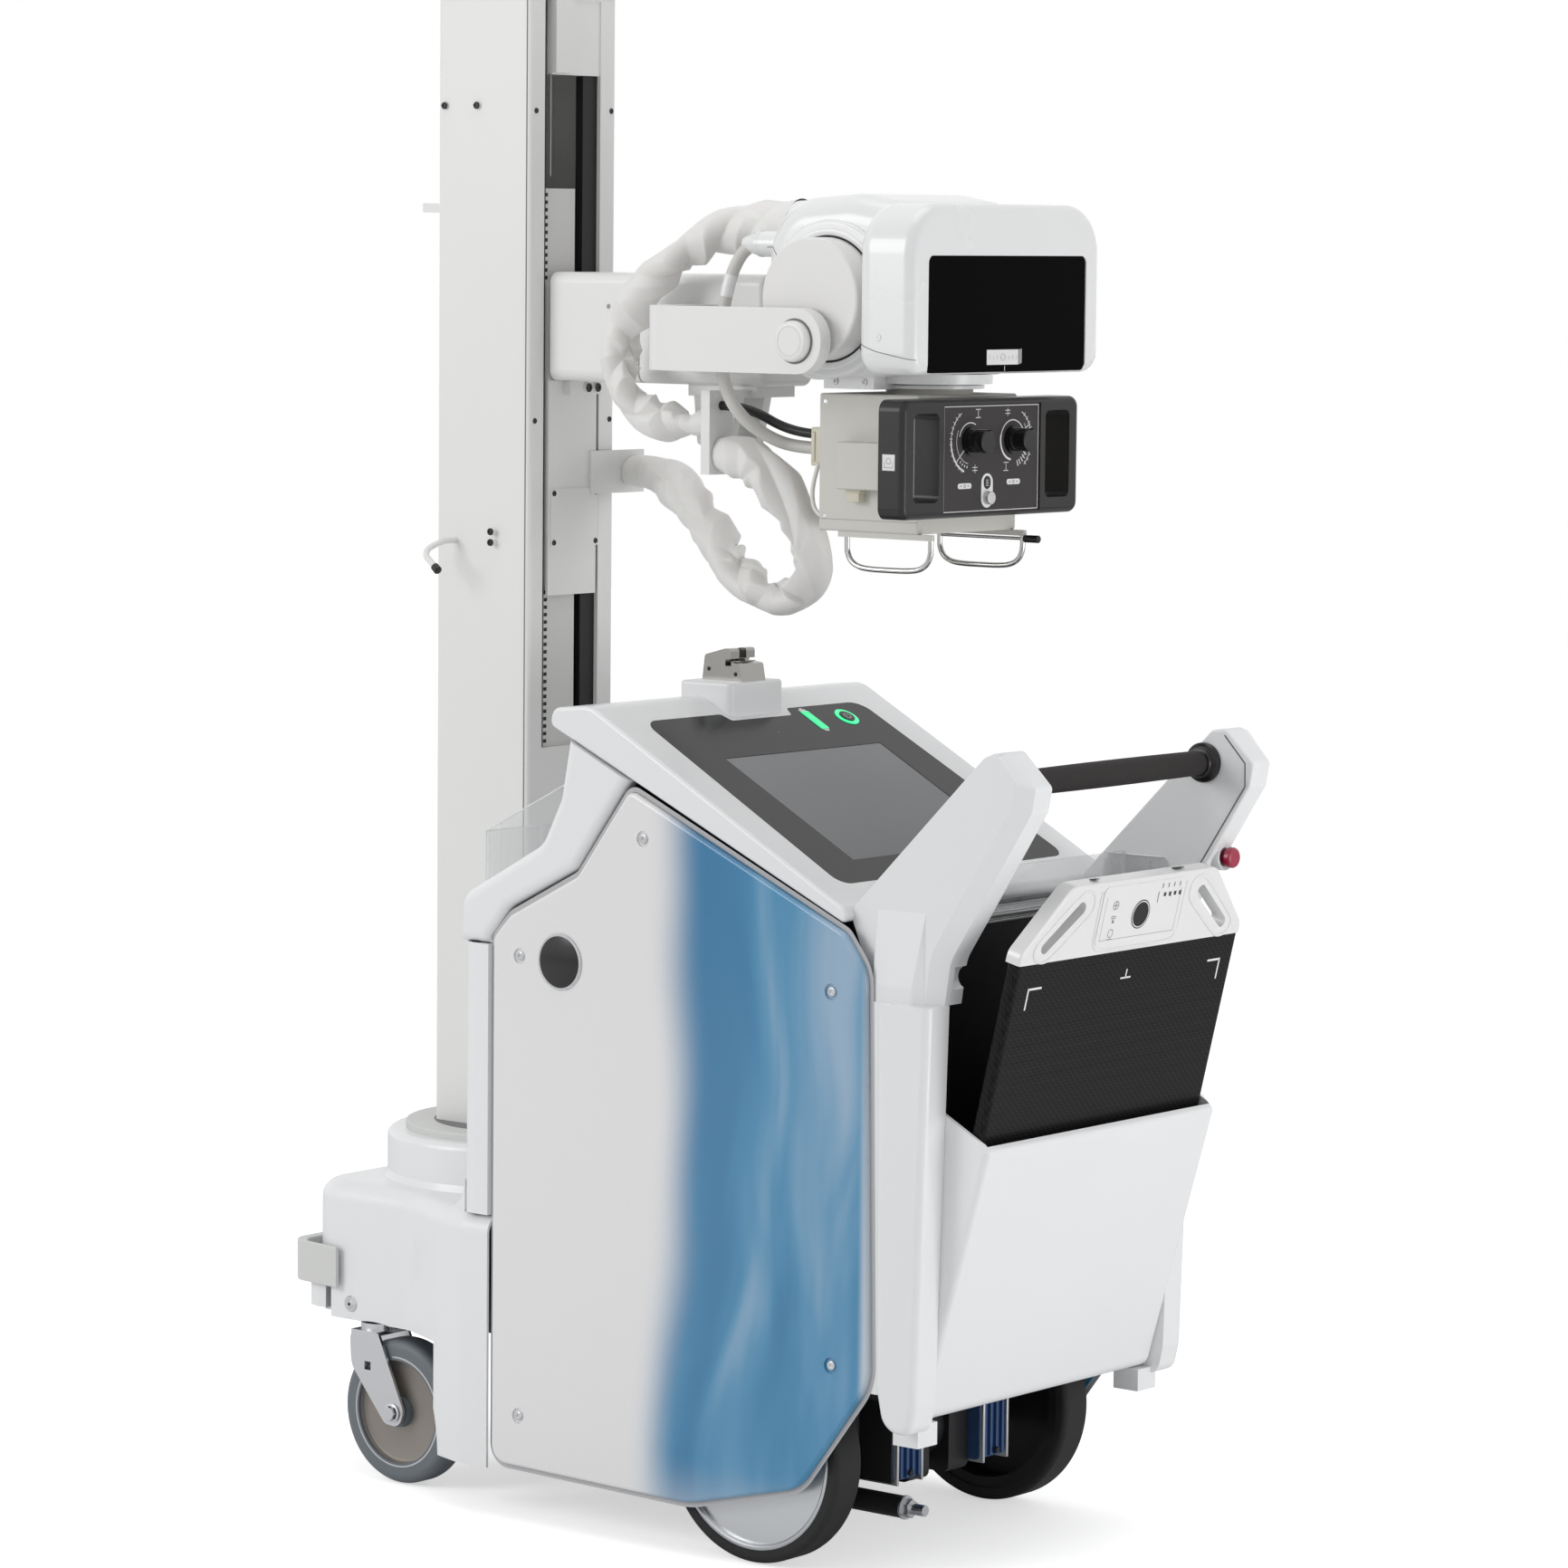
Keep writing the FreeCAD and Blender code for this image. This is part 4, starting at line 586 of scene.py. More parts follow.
frame_lines = strokes(0.0007, (-0.0765, -0.074, 0.0765, -0.074), (-0.0765, -0.074, -0.0765, -0.019),
                      (0.0765, -0.074, 0.0765, -0.019))
print_flat("detector_frame", "detector", lambda u, v: on_detector(u, v, 0.0025), frame_lines, seal_grey)
roundel = [(0.0185 * math.cos(t), -0.0465 + 0.0185 * math.sin(t))
           for t in [math.tau * i / 48 for i in range(48)]]
print_flat("detector_roundel", "detector", lambda u, v: on_detector(u, v, 0.0025), [roundel], gear_black)
print_flat("detector_roundel_ring", "detector", lambda u, v: on_detector(u, v, 0.0027),
           arc_strokes(0, -0.0465, 0.0163, 0.0014, 0, 360, 48), print_white)

# Clear guards.
# A bent clear sheet closes the tray behind the column, and another stands across the rear of the
# console, held to the far arm by four clear bosses.


def edge_lines(name, node, body, radius, material, least=50):
    """Fine strands along a node's sharp edges, as the bright sawn edges of a clear sheet."""
    shape = bmesh.new()
    shape.from_mesh(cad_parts[node].data)
    bmesh.ops.remove_doubles(shape, verts=shape.verts, dist=1e-5)
    curve = new_curve(name, radius, material, 1)
    for edge in shape.edges:
        if len(edge.link_faces) == 2 and edge.calc_face_angle(0) > math.radians(least):
            if edge.calc_length() > 0.008:
                add_spline(curve, [corner.co for corner in edge.verts])
    shape.free()
    return placed(name, curve, body)


clear_plastic = finish("clear_plastic", (0.86, 0.88, 0.9), rough=0.08, scale=60, depth=0.02, spread=0.04)
feed(clear_plastic.node_tree, skin_of(clear_plastic),
     {"Transmission Weight": 0.9, "IOR": 1.2, "Alpha": 0.3})
dress(clear_plastic, "column_guard", "rail_guard")
edge_light = finish("edge_light", (0.84, 0.86, 0.87), rough=0.15, scale=300, depth=0.02)
for guard in ("column_guard", "rail_guard"):
    edge_lines(f"{guard}_edges", guard, "cart", 0.0005, edge_light)
stop_red = finish("stop_red", (0.36, 0.012, 0.05), rough=0.3, scale=500, depth=0.02, coat=0.4)
dress(stop_red, "stop_button")
lathe("stop_collar", "cart", (0.5602, 0.233, 0.862), (1, 0, 0),
      [(0.0085, 0.0006), (0.0145, 0.0006), (0.0163, 0.0), (0.0163, -0.004)], screw_zinc, steps=40)

# Wheels.
# Each drive wheel is a moulded black tyre on a disc with a turned lip, bright on the near wheel and black as
# painted shade on the far one. Each caster has a grey blue tread, a bronze web with a silver painted
# highlight on its lip, and a pressed zinc fork with its nut.

tyre_black = finish("tyre_black", (0.022, 0.022, 0.023), rough=0.62, scale=500, depth=0.25, spread=0.12,
                    shine=0.25)
hub_silver = finish("hub_silver", (0.62, 0.63, 0.64), rough=0.3, metal=0.75, scale=1400, depth=0.08)
caster_rubber = finish("caster_rubber", (0.15, 0.17, 0.19), rough=0.5, scale=500, depth=0.12,
                       spread=0.1, shade=0.88)
caster_web = finish("caster_web", (0.3, 0.272, 0.248), rough=0.4, metal=0.55, scale=900, depth=0.12,
                    spread=0.14, shade=0.85, slot="caster_rubber")
dress(tyre_black, "drive_tyre_near", "drive_tyre_far")
dress(hub_silver, "drive_hub_near")
# The far hub is coloured black as painted shade; the near one keeps its bright silver.
dress(gear_black, "drive_hub_far")
dress(caster_rubber, "caster_wheel_near", "caster_wheel_far")
dress(screw_zinc, "caster_fork_near", "caster_fork_far")
wheel_x, wheel_z, wheel_face = 0.207, 0.137, 0.259
for side, word in SIDES:
    drive, hub_spot = f"drive_{word}", (wheel_x, side * wheel_face, wheel_z)
    lathe(f"hub_lip_{word}", drive, hub_spot, (0, side, 0),
          [(0.1208, -0.0032), (0.1208, -0.0012), (0.1196, -0.0005), (0.1165, -0.0005), (0.1145, -0.002),
           (0.1132, -0.0034)], end_silver, 96)
    # The far cap is black as painted shade, like the far hub.
    lathe(f"hub_cap_{word}", drive, hub_spot, (0, side, 0),
          [(0, -0.0045), (0.026, -0.0045), (0.0285, -0.0065), (0.0295, -0.0092)],
          hub_silver if side < 0 else gear_black, 56)
    for i in range(6):
        turn_at = math.radians(60 * i + 15)
        spot = (wheel_x + 0.055 * math.cos(turn_at), side * (wheel_face - 0.0068),
                wheel_z + 0.055 * math.sin(turn_at))
        lathe(f"hub_bolt_{word}_{i}", drive, spot, (0, side, 0),
              [(0, 0.003), (0.0042, 0.003), (0.0052, 0.002), (0.0052, -0.001)], end_silver, steps=6)
    caster_x, caster_y, caster_z = -0.419, side * 0.202, 0.095
    for face in (-1, 1):
        roller, axle = f"roller_{word}", (caster_x, caster_y, caster_z)
        lathe(f"caster_web_{word}_{face + 1}", roller, axle, (0, face, 0),
              [(0.021, 0.0125), (0.03, 0.0125), (0.036, 0.0122), (0.062, 0.0122), (0.0665, 0.0135),
               (0.0685, 0.0185), (0.0705, 0.0205), (0.0735, 0.0212)], caster_web, steps=72)
        # A silver ring on the lip of each bronze web: a painted highlight, not a separate metal part.
        lathe(f"caster_lip_highlight_{word}_{face + 1}", roller, axle, (0, face, 0),
              [(0.0702, 0.0208), (0.0708, 0.0222), (0.0728, 0.0223), (0.0736, 0.0214)], end_silver, steps=72)
    lathe(f"caster_washer_{word}", f"swivel_{word}", (caster_x, caster_y - 0.0302, caster_z), (0, -1, 0),
          [(0.0068, 0.0003), (0.0115, 0.0003), (0.0125, 0.0016), (0.0098, 0.0024)], screw_zinc, steps=40)

# Column.
# A white painted extrusion with a dark slot. The slot holds a black guide rail, a pierced strip, two pale
# aprons and the lifting rope, and small dark bolts and screws close its holes. A band of painted shade
# darkens the slot's side wall, and the pierced holes are painted shade too.

column_paint = finish("column_paint", (0.8, 0.8, 0.785), rough=0.36, scale=700, depth=0.04, coat=0.2,
                      spread=0.05, shade=0.97)
dress(column_paint, "column_shell", "column_hooks")
rail_black = finish("rail_black", (0.03, 0.03, 0.032), rough=0.4, metal=0.4, scale=400, depth=0.08,
                    shine=0.25)
dress(rail_black, "column_rails")
face_x = -0.321
seam = finish("seam", (0.2, 0.2, 0.2), rough=0.7, scale=600, depth=0.05, slot="gear_black")
block("column_corner_seam", "column", (face_x - 0.0075, -0.0845, 0.4596), (face_x - 0.006, -0.0838, 1.9315),
      seam, 0)
# A near-black finish for painted shade: a band on the slot's side wall, the pierced holes and the gap round
# the head's discs.
painted_shade = finish("painted_shade", (0.03, 0.03, 0.031), rough=0.6, scale=300, depth=0.08, shine=0.2,
                    slot="gear_black")
# A dark band on the slot's inner side wall: painted shade, not a part.
block("column_slot_shade", "column", (face_x - 0.056, 0.07, 0.955), (face_x - 0.02, 0.0795, 1.829),
      painted_shade, edge=0.0004)


def dashes(left, right, heights):
    """A row of pierced holes, one above another, between two y and from these z up."""
    return [[(left, z), (right, z), (right, z + 0.0046), (left, z + 0.0046)] for z in heights]


pitch = 0.0097
# The strip's pierced holes are flat dark marks: painted shade in the holes.
print_flat("strip_dashes", "column", flat_at(face_x - 0.0057),
           dashes(-0.0562, -0.0486, [0.9655 + pitch * i for i in range(76)]), painted_shade)
apron_paint = finish("apron_paint", (0.66, 0.655, 0.64), rough=0.45, scale=900, depth=0.05,
                     slot="column_paint")
for i, (low, high, front) in enumerate(((0.56, 1.172, 0.0066), (1.556, 1.684, 0.0088))):
    block(f"carriage_apron_{i}", "arm", (face_x - front - 0.001, -0.0472, low),
          (face_x - front, 0.0128, high), apron_paint, edge=0.0003)
    heights = [z for z in [0.5678 + pitch * n for n in range(116)] if low + 0.002 < z < high - 0.007]
    # The aprons' holes are flat dark marks: painted shade in the holes.
    print_flat(f"apron_dashes_{i}", "arm", flat_at(face_x - front + 0.0002),
               dashes(-0.0468, -0.0405, heights), painted_shade)
for i, (x, y, z) in enumerate(((-0.469, -0.087, 1.79), (-0.413, -0.087, 1.79), (-0.381, -0.092, 1.24),
                              (-0.381, -0.092, 1.226))):
    lathe(f"column_bolt_{i}", "column", (x, y, z), (0, -1, 0),
          [(0, 0.0002), (0.0018, 0.0002), (0.0022, 0.0012), (0.0042, 0.0012), (0.0047, 0.0004),
           (0.0047, -0.0012)], badge_black, steps=24)
lathe("hook_tip", "column", (-0.4362, -0.1354, 1.1922), (0.032, -0.006, -0.022),
      [(0.0042, -0.004), (0.0054, -0.0034), (0.0056, 0.0055), (0.0044, 0.007), (0, 0.0074)], badge_black,
      24)
socket_screw = [(0, 0.0003), (0.0014, 0.0003), (0.0018, 0.001), (0.0034, 0.001), (0.0038, 0.0)]
for i, (y, z) in enumerate(((-0.0735, 1.783), (-0.0735, 1.385), (0.0735, 1.7855), (0.0735, 1.3845))):
    lathe(f"slot_screw_{i}", "column", (face_x, y, z), (1, 0, 0), socket_screw, badge_black, steps=20)
rope_grey = finish("rope_grey", (0.32, 0.32, 0.33), rough=0.45, metal=0.7, scale=2500, depth=0.5,
                   slot="screw_zinc")
thread("lift_rope", "column", [(face_x - 0.0025, -0.0432, 1.8315), (face_x - 0.0025, -0.0432, 1.7)], 0.0014,
       rope_grey)
lathe("collar_gap", "column", (-0.402, 0, 0.4581), (0, 0, 1), [(0.0605, 0.0002), (0.1165, 0.0002)],
      seam, 72)

# Arm and yoke.
# The lifting carriage shows as a flat cover with four screws. The arm and the yoke are cast boxes
# with a dark joint between them, and a pivot cap closes each end of the fork.

arm_paint = finish("arm_paint", (0.81, 0.81, 0.8), rough=0.38, scale=1100, depth=0.07, coat=0.15,
                   spread=0.06, shade=0.97, slot="column_paint")
dress(arm_paint, "arm_outer", "yoke", "arm_latch")
carriage_white = finish("carriage_white", (0.78, 0.78, 0.765), rough=0.4, scale=900, depth=0.05)
dress(carriage_white, "carriage")
for i, (y, z) in enumerate(((-0.0404, 1.2905), (0.0415, 1.2905), (-0.0404, 1.2265), (0.0415, 1.2265))):
    lathe(f"carriage_screw_{i}", "arm", (face_x + 0.005, y, z), (1, 0, 0), socket_screw, badge_black,
          steps=20)
for i, y in enumerate((0.012, 0.03)):
    lathe(f"clamp_screw_{i}", "arm", (face_x + 0.018, y, 1.427), (1, 0, 0),
          [(0, 0.0001), (0.003, 0.0001), (0.003, 0.0012), (0.0052, 0.0012), (0.006, 0.0004)], badge_black,
          steps=24)
lathe("arm_grub", "arm", (-0.215, -0.0521, 1.534), (0, -1, 0), [(0, 0.0004), (0.0028, 0.0004), (0.0032, 0)],
      seal_grey, steps=20)
for side, word in SIDES:
    lathe(f"pivot_cap_{word}", "fork", (0.21, side * 0.207, 1.499), (0, side, 0),
          [(0, 0.0012), (0.0165, 0.0012), (0.0172, 0.0005), (0.0182, 0.0005), (0.0189, 0.0012),
           (0.0222, 0.0009), (0.0236, -0.0004)], arm_paint, steps=64)
    lathe(f"pivot_shadow_{word}", "fork", (0.21, side * 0.198, 1.499), (0, side, 0),
          [(0.0252, 0.0004), (0.0275, 0.0004), (0.0279, 0.0)], seam, steps=64)

# Tube head.
# A smooth two-lobed moulding carries a round bearing disc on each side and a black glass front with a small
# level window. Fine seams part its shells, and the gap in which each disc turns is a ring of painted shade.


def drawn_on(nodes, places, toward, lift=0.0003):
    """Drops places on to CAD nodes along a direction and returns the points just off the surface."""
    way = Vector(toward).normalized()
    trees = []
    for name in nodes:
        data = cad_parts[name].data
        trees.append(BVHTree.FromPolygons([v.co for v in data.vertices],
                                          [tuple(p.vertices) for p in data.polygons]))
    found = []
    for place in places:
        start = Vector(place) - way
        hits = [tree.ray_cast(start, way) for tree in trees]
        hits = [(hit[3], hit[0]) for hit in hits if hit[0] is not None]
        if hits:
            found.append(min(hits, key=lambda hit: hit[0])[1] - way * lift)
    return found


def between(points, count):
    """Evenly spaced points along straight runs."""
    spots = [Vector(p) for p in points]
    lengths = [(b - a).length for a, b in zip(spots, spots[1:])]
    total = sum(lengths)
    out = []
    for i in range(count):
        left = total * i / (count - 1)
        for a, b, length in zip(spots, spots[1:], lengths):
            if left <= length + 1e-9:
                out.append(a.lerp(b, left / length))
                break
            left -= length
    return out


head_paint = finish("head_paint", (0.82, 0.825, 0.83), rough=0.27, scale=900, depth=0.02, coat=0.4,
                    spread=0.05, shade=0.98, slot="sleeve_white")
disc_paint = finish("disc_paint", (0.79, 0.785, 0.775), rough=0.42, scale=1600, depth=0.08, coat=0.1,
                    spread=0.06, shade=0.97)
dress(head_paint, "head_shell", "head_hood")
dress(disc_paint, "head_discs")
display_black = finish("display_black", (0.001, 0.001, 0.0012), rough=0.28, scale=300, depth=0.005,
                       spread=0.03, shine=0.02)
dress(display_black, "head_display")
block("display_top_edge", "head", (0.3792, -0.1585, 1.6043), (0.3847, 0.1585, 1.6056), end_silver,
      edge=0.0004)
block("level_window", "head", (0.3835, -0.041, 1.4722), (0.3842, 0.0225, 1.4906), print_white, edge=0.0003)
on_display = flat_at(0.3844)
level_marks = [stroke(-0.036 + 0.0078 * i, 1.4788, -0.036 + 0.0078 * i, 1.4845 - 0.0015 * (i % 2), 0.0006)
               for i in range(8)]
level_marks += arc_strokes(-0.0092, 1.4815, 0.0042, 0.0006, 0, 360, 24)
level_marks.append([(0.0228, 1.4722), (0.0292, 1.474), (0.0292, 1.4915), (0.0228, 1.4906)])
print_flat("level_marks", "head", on_display, level_marks, seal_grey)
print_flat("level_tick", "head", on_display, [stroke(-0.0055, 1.4648, -0.0055, 1.4708, 0.0009)],
           print_white)
disc_x, disc_z, boss_y = 0.21, 1.55, 0.134
for side, word in SIDES:
    # A dark ring round each disc: painted shade in the gap between disc and shell.
    lathe(f"disc_gap_shade_{word}", "head", (disc_x, side * boss_y, disc_z), (0, side, 0),
          [(0.0749, 0.0004), (0.0774, 0.0004)], painted_shade, steps=96)
    lathe(f"disc_rim_{word}", "head", (disc_x, side * boss_y, disc_z), (0, side, 0),
          [(0.0775, 0.0001), (0.0782, 0.0018), (0.0802, 0.0026), (0.084, 0.0022), (0.0862, 0.0001)],
          head_paint, 96)
    for i, turn_at in enumerate((38, -46, 150, 222)):
        spot = (disc_x + 0.0815 * math.cos(math.radians(turn_at)), side * (boss_y + 0.0022),
                disc_z + 0.0815 * math.sin(math.radians(turn_at)))
        lathe(f"disc_screw_{word}_{i}", "head", spot, (0, side, 0),
              [(0, 0.0006), (0.0016, 0.0006), (0.002, 0.0018), (0.0034, 0.0018), (0.0041, 0.0002)],
              edge_steel, steps=20)
    way = (0, -side, 0)
    front_line = between([(0.286, side, 1.5035), (0.3, side, 1.4985), (0.33, side, 1.489),
                          (0.384, side, 1.4795)], 40)
    thread(f"head_seam_front_{word}", "head", drawn_on(("head_shell", "head_hood"), front_line, way, 0.0001),
           0.0005, seam)
    rear_line = between([(0.0985, side, 1.612), (0.113, side, 1.6125), (0.139, side, 1.586)], 24)
    thread(f"head_seam_rear_{word}", "head", drawn_on(("head_shell",), rear_line, way, 0.0001),
           0.0005, seam)
    spot = drawn_on(("head_hood",), [(0.334, side, 1.506)], way, 0.0)[0]
    lathe(f"hood_screw_{word}", "head", spot, (0, side, 0),
          [(0, 0.0004), (0.001, 0.0004), (0.0013, 0.0011), (0.0042, 0.0011), (0.0049, 0.0001)],
          head_paint, 24)
for i, x in enumerate((0.2, 0.245)):
    lathe(f"mount_screw_{i}", "head", (x, -0.1041, 1.449), (0, -1, 0),
          [(0, 0.0003), (0.0014, 0.0003), (0.0017, 0.0012), (0.0038, 0.0012), (0.0041, 0.0)], edge_steel,
          steps=20)

# Collimator.
# A warm grey metal box with a moulded black front. The front has two slots as grips, a dark
# printed panel with dials for the two knobs, and two bent chrome rods hang below.

collimator_grey = finish("collimator_grey", (0.63, 0.62, 0.58), rough=0.5, scale=1500, depth=0.08,
                         spread=0.06, shade=0.96)
dress(collimator_grey, "collimator_body")
bezel_black = finish("bezel_black", (0.03, 0.028, 0.028), rough=0.3, scale=260, depth=0.06, coat=0.1,
                     spread=0.1, shine=0.22)
dress(bezel_black, "collimator_bezel")
knob_black = finish("knob_black", (0.008, 0.008, 0.008), rough=0.18, scale=300, depth=0.02, coat=0.2,
                    shine=0.3, slot="black_gloss")
dress(knob_black, "knob_near", "knob_far")
button_silver = finish("button_silver", (0.6, 0.6, 0.61), rough=0.4, metal=0.6, scale=900, depth=0.05)
dress(button_silver, "light_button")
bright_chrome = finish("bright_chrome", (0.52, 0.52, 0.51), rough=0.16, metal=1.0, scale=500, depth=0.01,
                       spread=0.05)
panel_dark = finish("panel_dark", (0.052, 0.048, 0.048), rough=0.5, scale=1500, depth=0.06, shine=0.15,
                    slot="bumper_grey")
print_flat("dial_panel", "collimator", flat_at(0.3617),
           [[(-0.0978, 1.2912), (0.0978, 1.2912), (0.0978, 1.4238), (-0.0978, 1.4238)]], panel_dark)
left, right, low, high = -0.0955, 0.0955, 1.2935, 1.4215
line = 0.0009
dial_print = strokes(line, (left, low, right, low), (left, high, right, high), (left, low, left, high),
                     (right, low, right, high))
knob_y, knob_z = 0.043, 1.379
for centre, radius, wide, start, end, steps in (
        (-knob_y, 0.0385, 0.0011, 118, 178, 24), (-knob_y, 0.0385, 0.0024, 178, 252, 24),
        (-knob_y, 0.0275, 0.0007, 150, 262, 24), (-knob_y, 0.0225, 0.0014, 62, 165, 20),
        (knob_y, 0.0245, 0.0014, 25, 165, 24), (knob_y, 0.0245, 0.0026, 165, 262, 24),
        (knob_y, 0.0385, 0.0011, -52, 62, 28), (knob_y, 0.0305, 0.0007, -48, 40, 24)):
    dial_print += arc_strokes(centre, knob_z, radius, wide, start, end, steps)
for centre, inner, outer, wide, turns in (
        (-knob_y, 0.0362, 0.0418, 0.0008, range(125, 250, 10)),
        (knob_y, 0.0362, 0.0418, 0.0008, range(-48, 60, 10)),
        (-knob_y, 0.0165, 0.0375, 0.0012, (222,)), (knob_y, 0.019, 0.0405, 0.0012, (28,)),
        (-knob_y, 0.0305, 0.0335, 0.0015, range(232, 268, 9)),
        (knob_y, 0.027, 0.0345, 0.0015, range(-70, -30, 9))):
    for turn_at in turns:
        a = math.radians(turn_at)
        dial_print.append(stroke(centre + inner * math.cos(a), knob_z + inner * math.sin(a),
                                 centre + outer * math.cos(a), knob_z + outer * math.sin(a), wide))
wing, tight = 0.005, 0.0018
for u, v, rise in ((-0.0275, 1.4125, wing), (0.0325, 1.4135, tight), (-0.033, 1.345, tight),
                   (0.03, 1.3465, wing)):
    dial_print += strokes(line, (u - wing, v + rise, u + wing, v + rise),
                          (u - wing, v - rise, u + wing, v - rise), (u, v - wing, u, v + wing))
pills = ((-0.0535, 1.3245), (0.0455, 1.3275))
dial_print += [pill(u, v, 0.0138, 0.0034) for u, v in pills]
print_flat("dial_print", "collimator", flat_at(0.3619), dial_print, print_white)
pill_marks = []
for u, v in pills:
    pill_marks += strokes(0.0007, (u - 0.0095, v, u - 0.0055, v), (u + 0.0055, v, u + 0.0095, v))
    pill_marks += arc_strokes(u, v, 0.0019, 0.0006, 0, 360, 16)
print_flat("pill_marks", "collimator", flat_at(0.3621), pill_marks, ink)


def upright_pill(radius, top, bottom, step):
    """The outline of the light field's label, whose round ends have their centres at two heights."""
    shape = []
    for degrees in range(0, 361, step):
        t = math.radians(degrees)
        middle = top if 0 < degrees < 180 else bottom
        shape.append((radius * math.cos(t) - 0.008, middle + radius * math.sin(t)))
    return shape


print_flat("light_capsule", "collimator", flat_at(0.3619), [upright_pill(0.0118, 1.3272, 1.3086, 12)],
           print_white)
print_flat("light_window", "collimator", flat_at(0.3621), [upright_pill(0.0072, 1.3288, 1.3268, 15)],
           knob_black)
lamp_lines = strokes(0.0006, *((-0.0105, z, -0.0055, z) for z in [1.3242 + 0.0022 * i for i in range(4)]))
print_flat("light_lines", "collimator", flat_at(0.3622), lamp_lines, print_white)
tag = [(0.3325, 1.346), (0.3515, 1.346), (0.3515, 1.3655), (0.3325, 1.3655)]
print_flat("side_tag", "collimator", lambda u, v: Vector((u, -0.1792, v)), [tag], print_white)
tag_lines = strokes(0.0007, (0.3355, 1.3495, 0.3355, 1.3565), (0.3355, 1.3495, 0.3485, 1.3495),
                    (0.3485, 1.3495, 0.3485, 1.3565))
tag_lines += arc_strokes(0.342, 1.3575, 0.0035, 0.0007, 0, 360, 20)
print_flat("side_tag_lines", "collimator", lambda u, v: Vector((u, -0.1794, v)), tag_lines, seal_grey)
for word, y in (("near", -knob_y), ("far", knob_y)):
    block(f"knob_mark_{word}", f"dial_{word}", (0.3705, y - 0.0007, knob_z + 0.01445),
          (0.3885, y + 0.0007, knob_z + 0.0148), print_white, edge=0.0001)
cream = finish("connector_cream", (0.68, 0.65, 0.53), rough=0.45, scale=700, depth=0.05,
               slot="sleeve_white")
for name, low, high, edge in (
        ("side_plug", (0.2255, -0.1128, 1.3022), (0.2446, -0.0995, 1.3181), 0.001),
        ("side_plug_head", (0.2235, -0.1135, 1.3135), (0.2466, -0.0995, 1.3181), 0.001),
        ("rear_plug", (0.1458, -0.0848, 1.3432), (0.1705, -0.0452, 1.3908), 0.0015),
        ("rear_plug_lip", (0.1478, -0.0866, 1.3488), (0.1532, -0.0434, 1.3852), 0.001)):
    block(name, "collimator", low, high, cream, edge=edge)
lead_white = finish("lead_white", (0.76, 0.75, 0.72), rough=0.4, scale=900, depth=0.05,
                    slot="sleeve_white")
lead_route = [(0.1575, -0.0835, 1.3455), (0.1545, -0.087, 1.33), (0.154, -0.0915, 1.312),
              (0.158, -0.0945, 1.2965), (0.1645, -0.0965, 1.2875), (0.1725, -0.0965, 1.283)]
plug_lead = thread("plug_lead", "collimator", lead_route, 0.0028, lead_white, smooth=True)
for i, (tone, y) in enumerate((((0.5, 0.06, 0.02), -0.07), ((0.02, 0.2, 0.14), -0.0665),
                               ((0.55, 0.36, 0.05), -0.063), ((0.02, 0.02, 0.02), -0.0595))):
    wire = finish(f"wire_{i}", tone, rough=0.35, scale=900, depth=0.02)
    wire_route = [(0.1555 + 0.001 * i, y, 1.3895), (0.1545 + 0.0012 * i, y - 0.002, 1.4005),
                  (0.1605, y - 0.003 + 0.0012 * i, 1.4105), (0.1685, y, 1.4185), (0.1722, y, 1.4198)]
    strand = thread(f"plug_wire_{i}", "collimator", wire_route, 0.0008, wire, smooth=True)
for i, (x, z) in enumerate(((0.181, 1.283), (0.181, 1.424), (0.31, 1.424))):
    lathe(f"body_screw_{i}", "collimator", (x, -0.1, z), (0, -1, 0),
          [(0, 0.0005), (0.0026, 0.0005), (0.0032, 0.0)], screw_zinc, steps=20)
block("body_fold", "collimator", (0.1722, -0.1002, 1.2792), (0.3255, -0.0999, 1.2799), seal_grey,
      0)
for side, word in SIDES:
    y = side * 0.0935
    bail = thread(f"bail_{word}", "collimator",
                  [(0.212, y, 1.2582), (0.212, y, 1.249), (0.2125, y, 1.239), (0.218, y, 1.228),
                   (0.231, y, 1.2212), (0.252, y, 1.2195), (0.277, y, 1.2195), (0.302, y, 1.2195),
                   (0.323, y, 1.2212), (0.336, y, 1.228), (0.3415, y, 1.239), (0.342, y, 1.249),
                   (0.342, y, 1.2582)], 0.0035, bright_chrome, smooth=True)
    if side < 0:
        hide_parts("collimator_bails")
lathe("bail_tip", "collimator", (0.345, 0.0935, 1.2545), (1, 0, 0),
      [(0, -0.001), (0.0034, -0.001), (0.0034, 0.001), (0.0048, 0.0018), (0.0048, 0.0212), (0.004, 0.022),
       (0, 0.022)], knob_black, steps=32)
thread("bail_rod", "collimator", [(0.212, 0.0935, 1.2545), (0.346, 0.0935, 1.2545)], 0.0022, bright_chrome)

# Sleeves, hose and cable.
# Thin white fabric sleeves gather the leads from the column to the head. They stay smooth outside
# a bend and crease sharply inside it, while the grey hose and the black cable are plain.

sleeve_white = finish("sleeve_white", (0.8, 0.795, 0.78), rough=0.5, scale=60, depth=0.25, spread=0.12,
                      shade=0.93)
feed(sleeve_white.node_tree, skin_of(sleeve_white), {"Sheen Weight": 0.25, "Subsurface Weight": 0.08})
hose_grey = finish("hose_grey", (0.62, 0.61, 0.585), rough=0.45, scale=500, depth=0.06)
cable_black = finish("cable_black", (0.018, 0.017, 0.017), rough=0.38, scale=300, depth=0.08, shine=0.35)


def route_curve(name, route, radius, material, fine=24):
    """A smooth cord's data, with its route's points, in mm as in the source, as control points."""
    curve = new_curve(name, radius, material, 5)
    spline = add_spline(curve, [[v / 1000 for v in place] for place in route], smooth=True)
    curve.resolution_u = spline.resolution_u = fine
    return curve


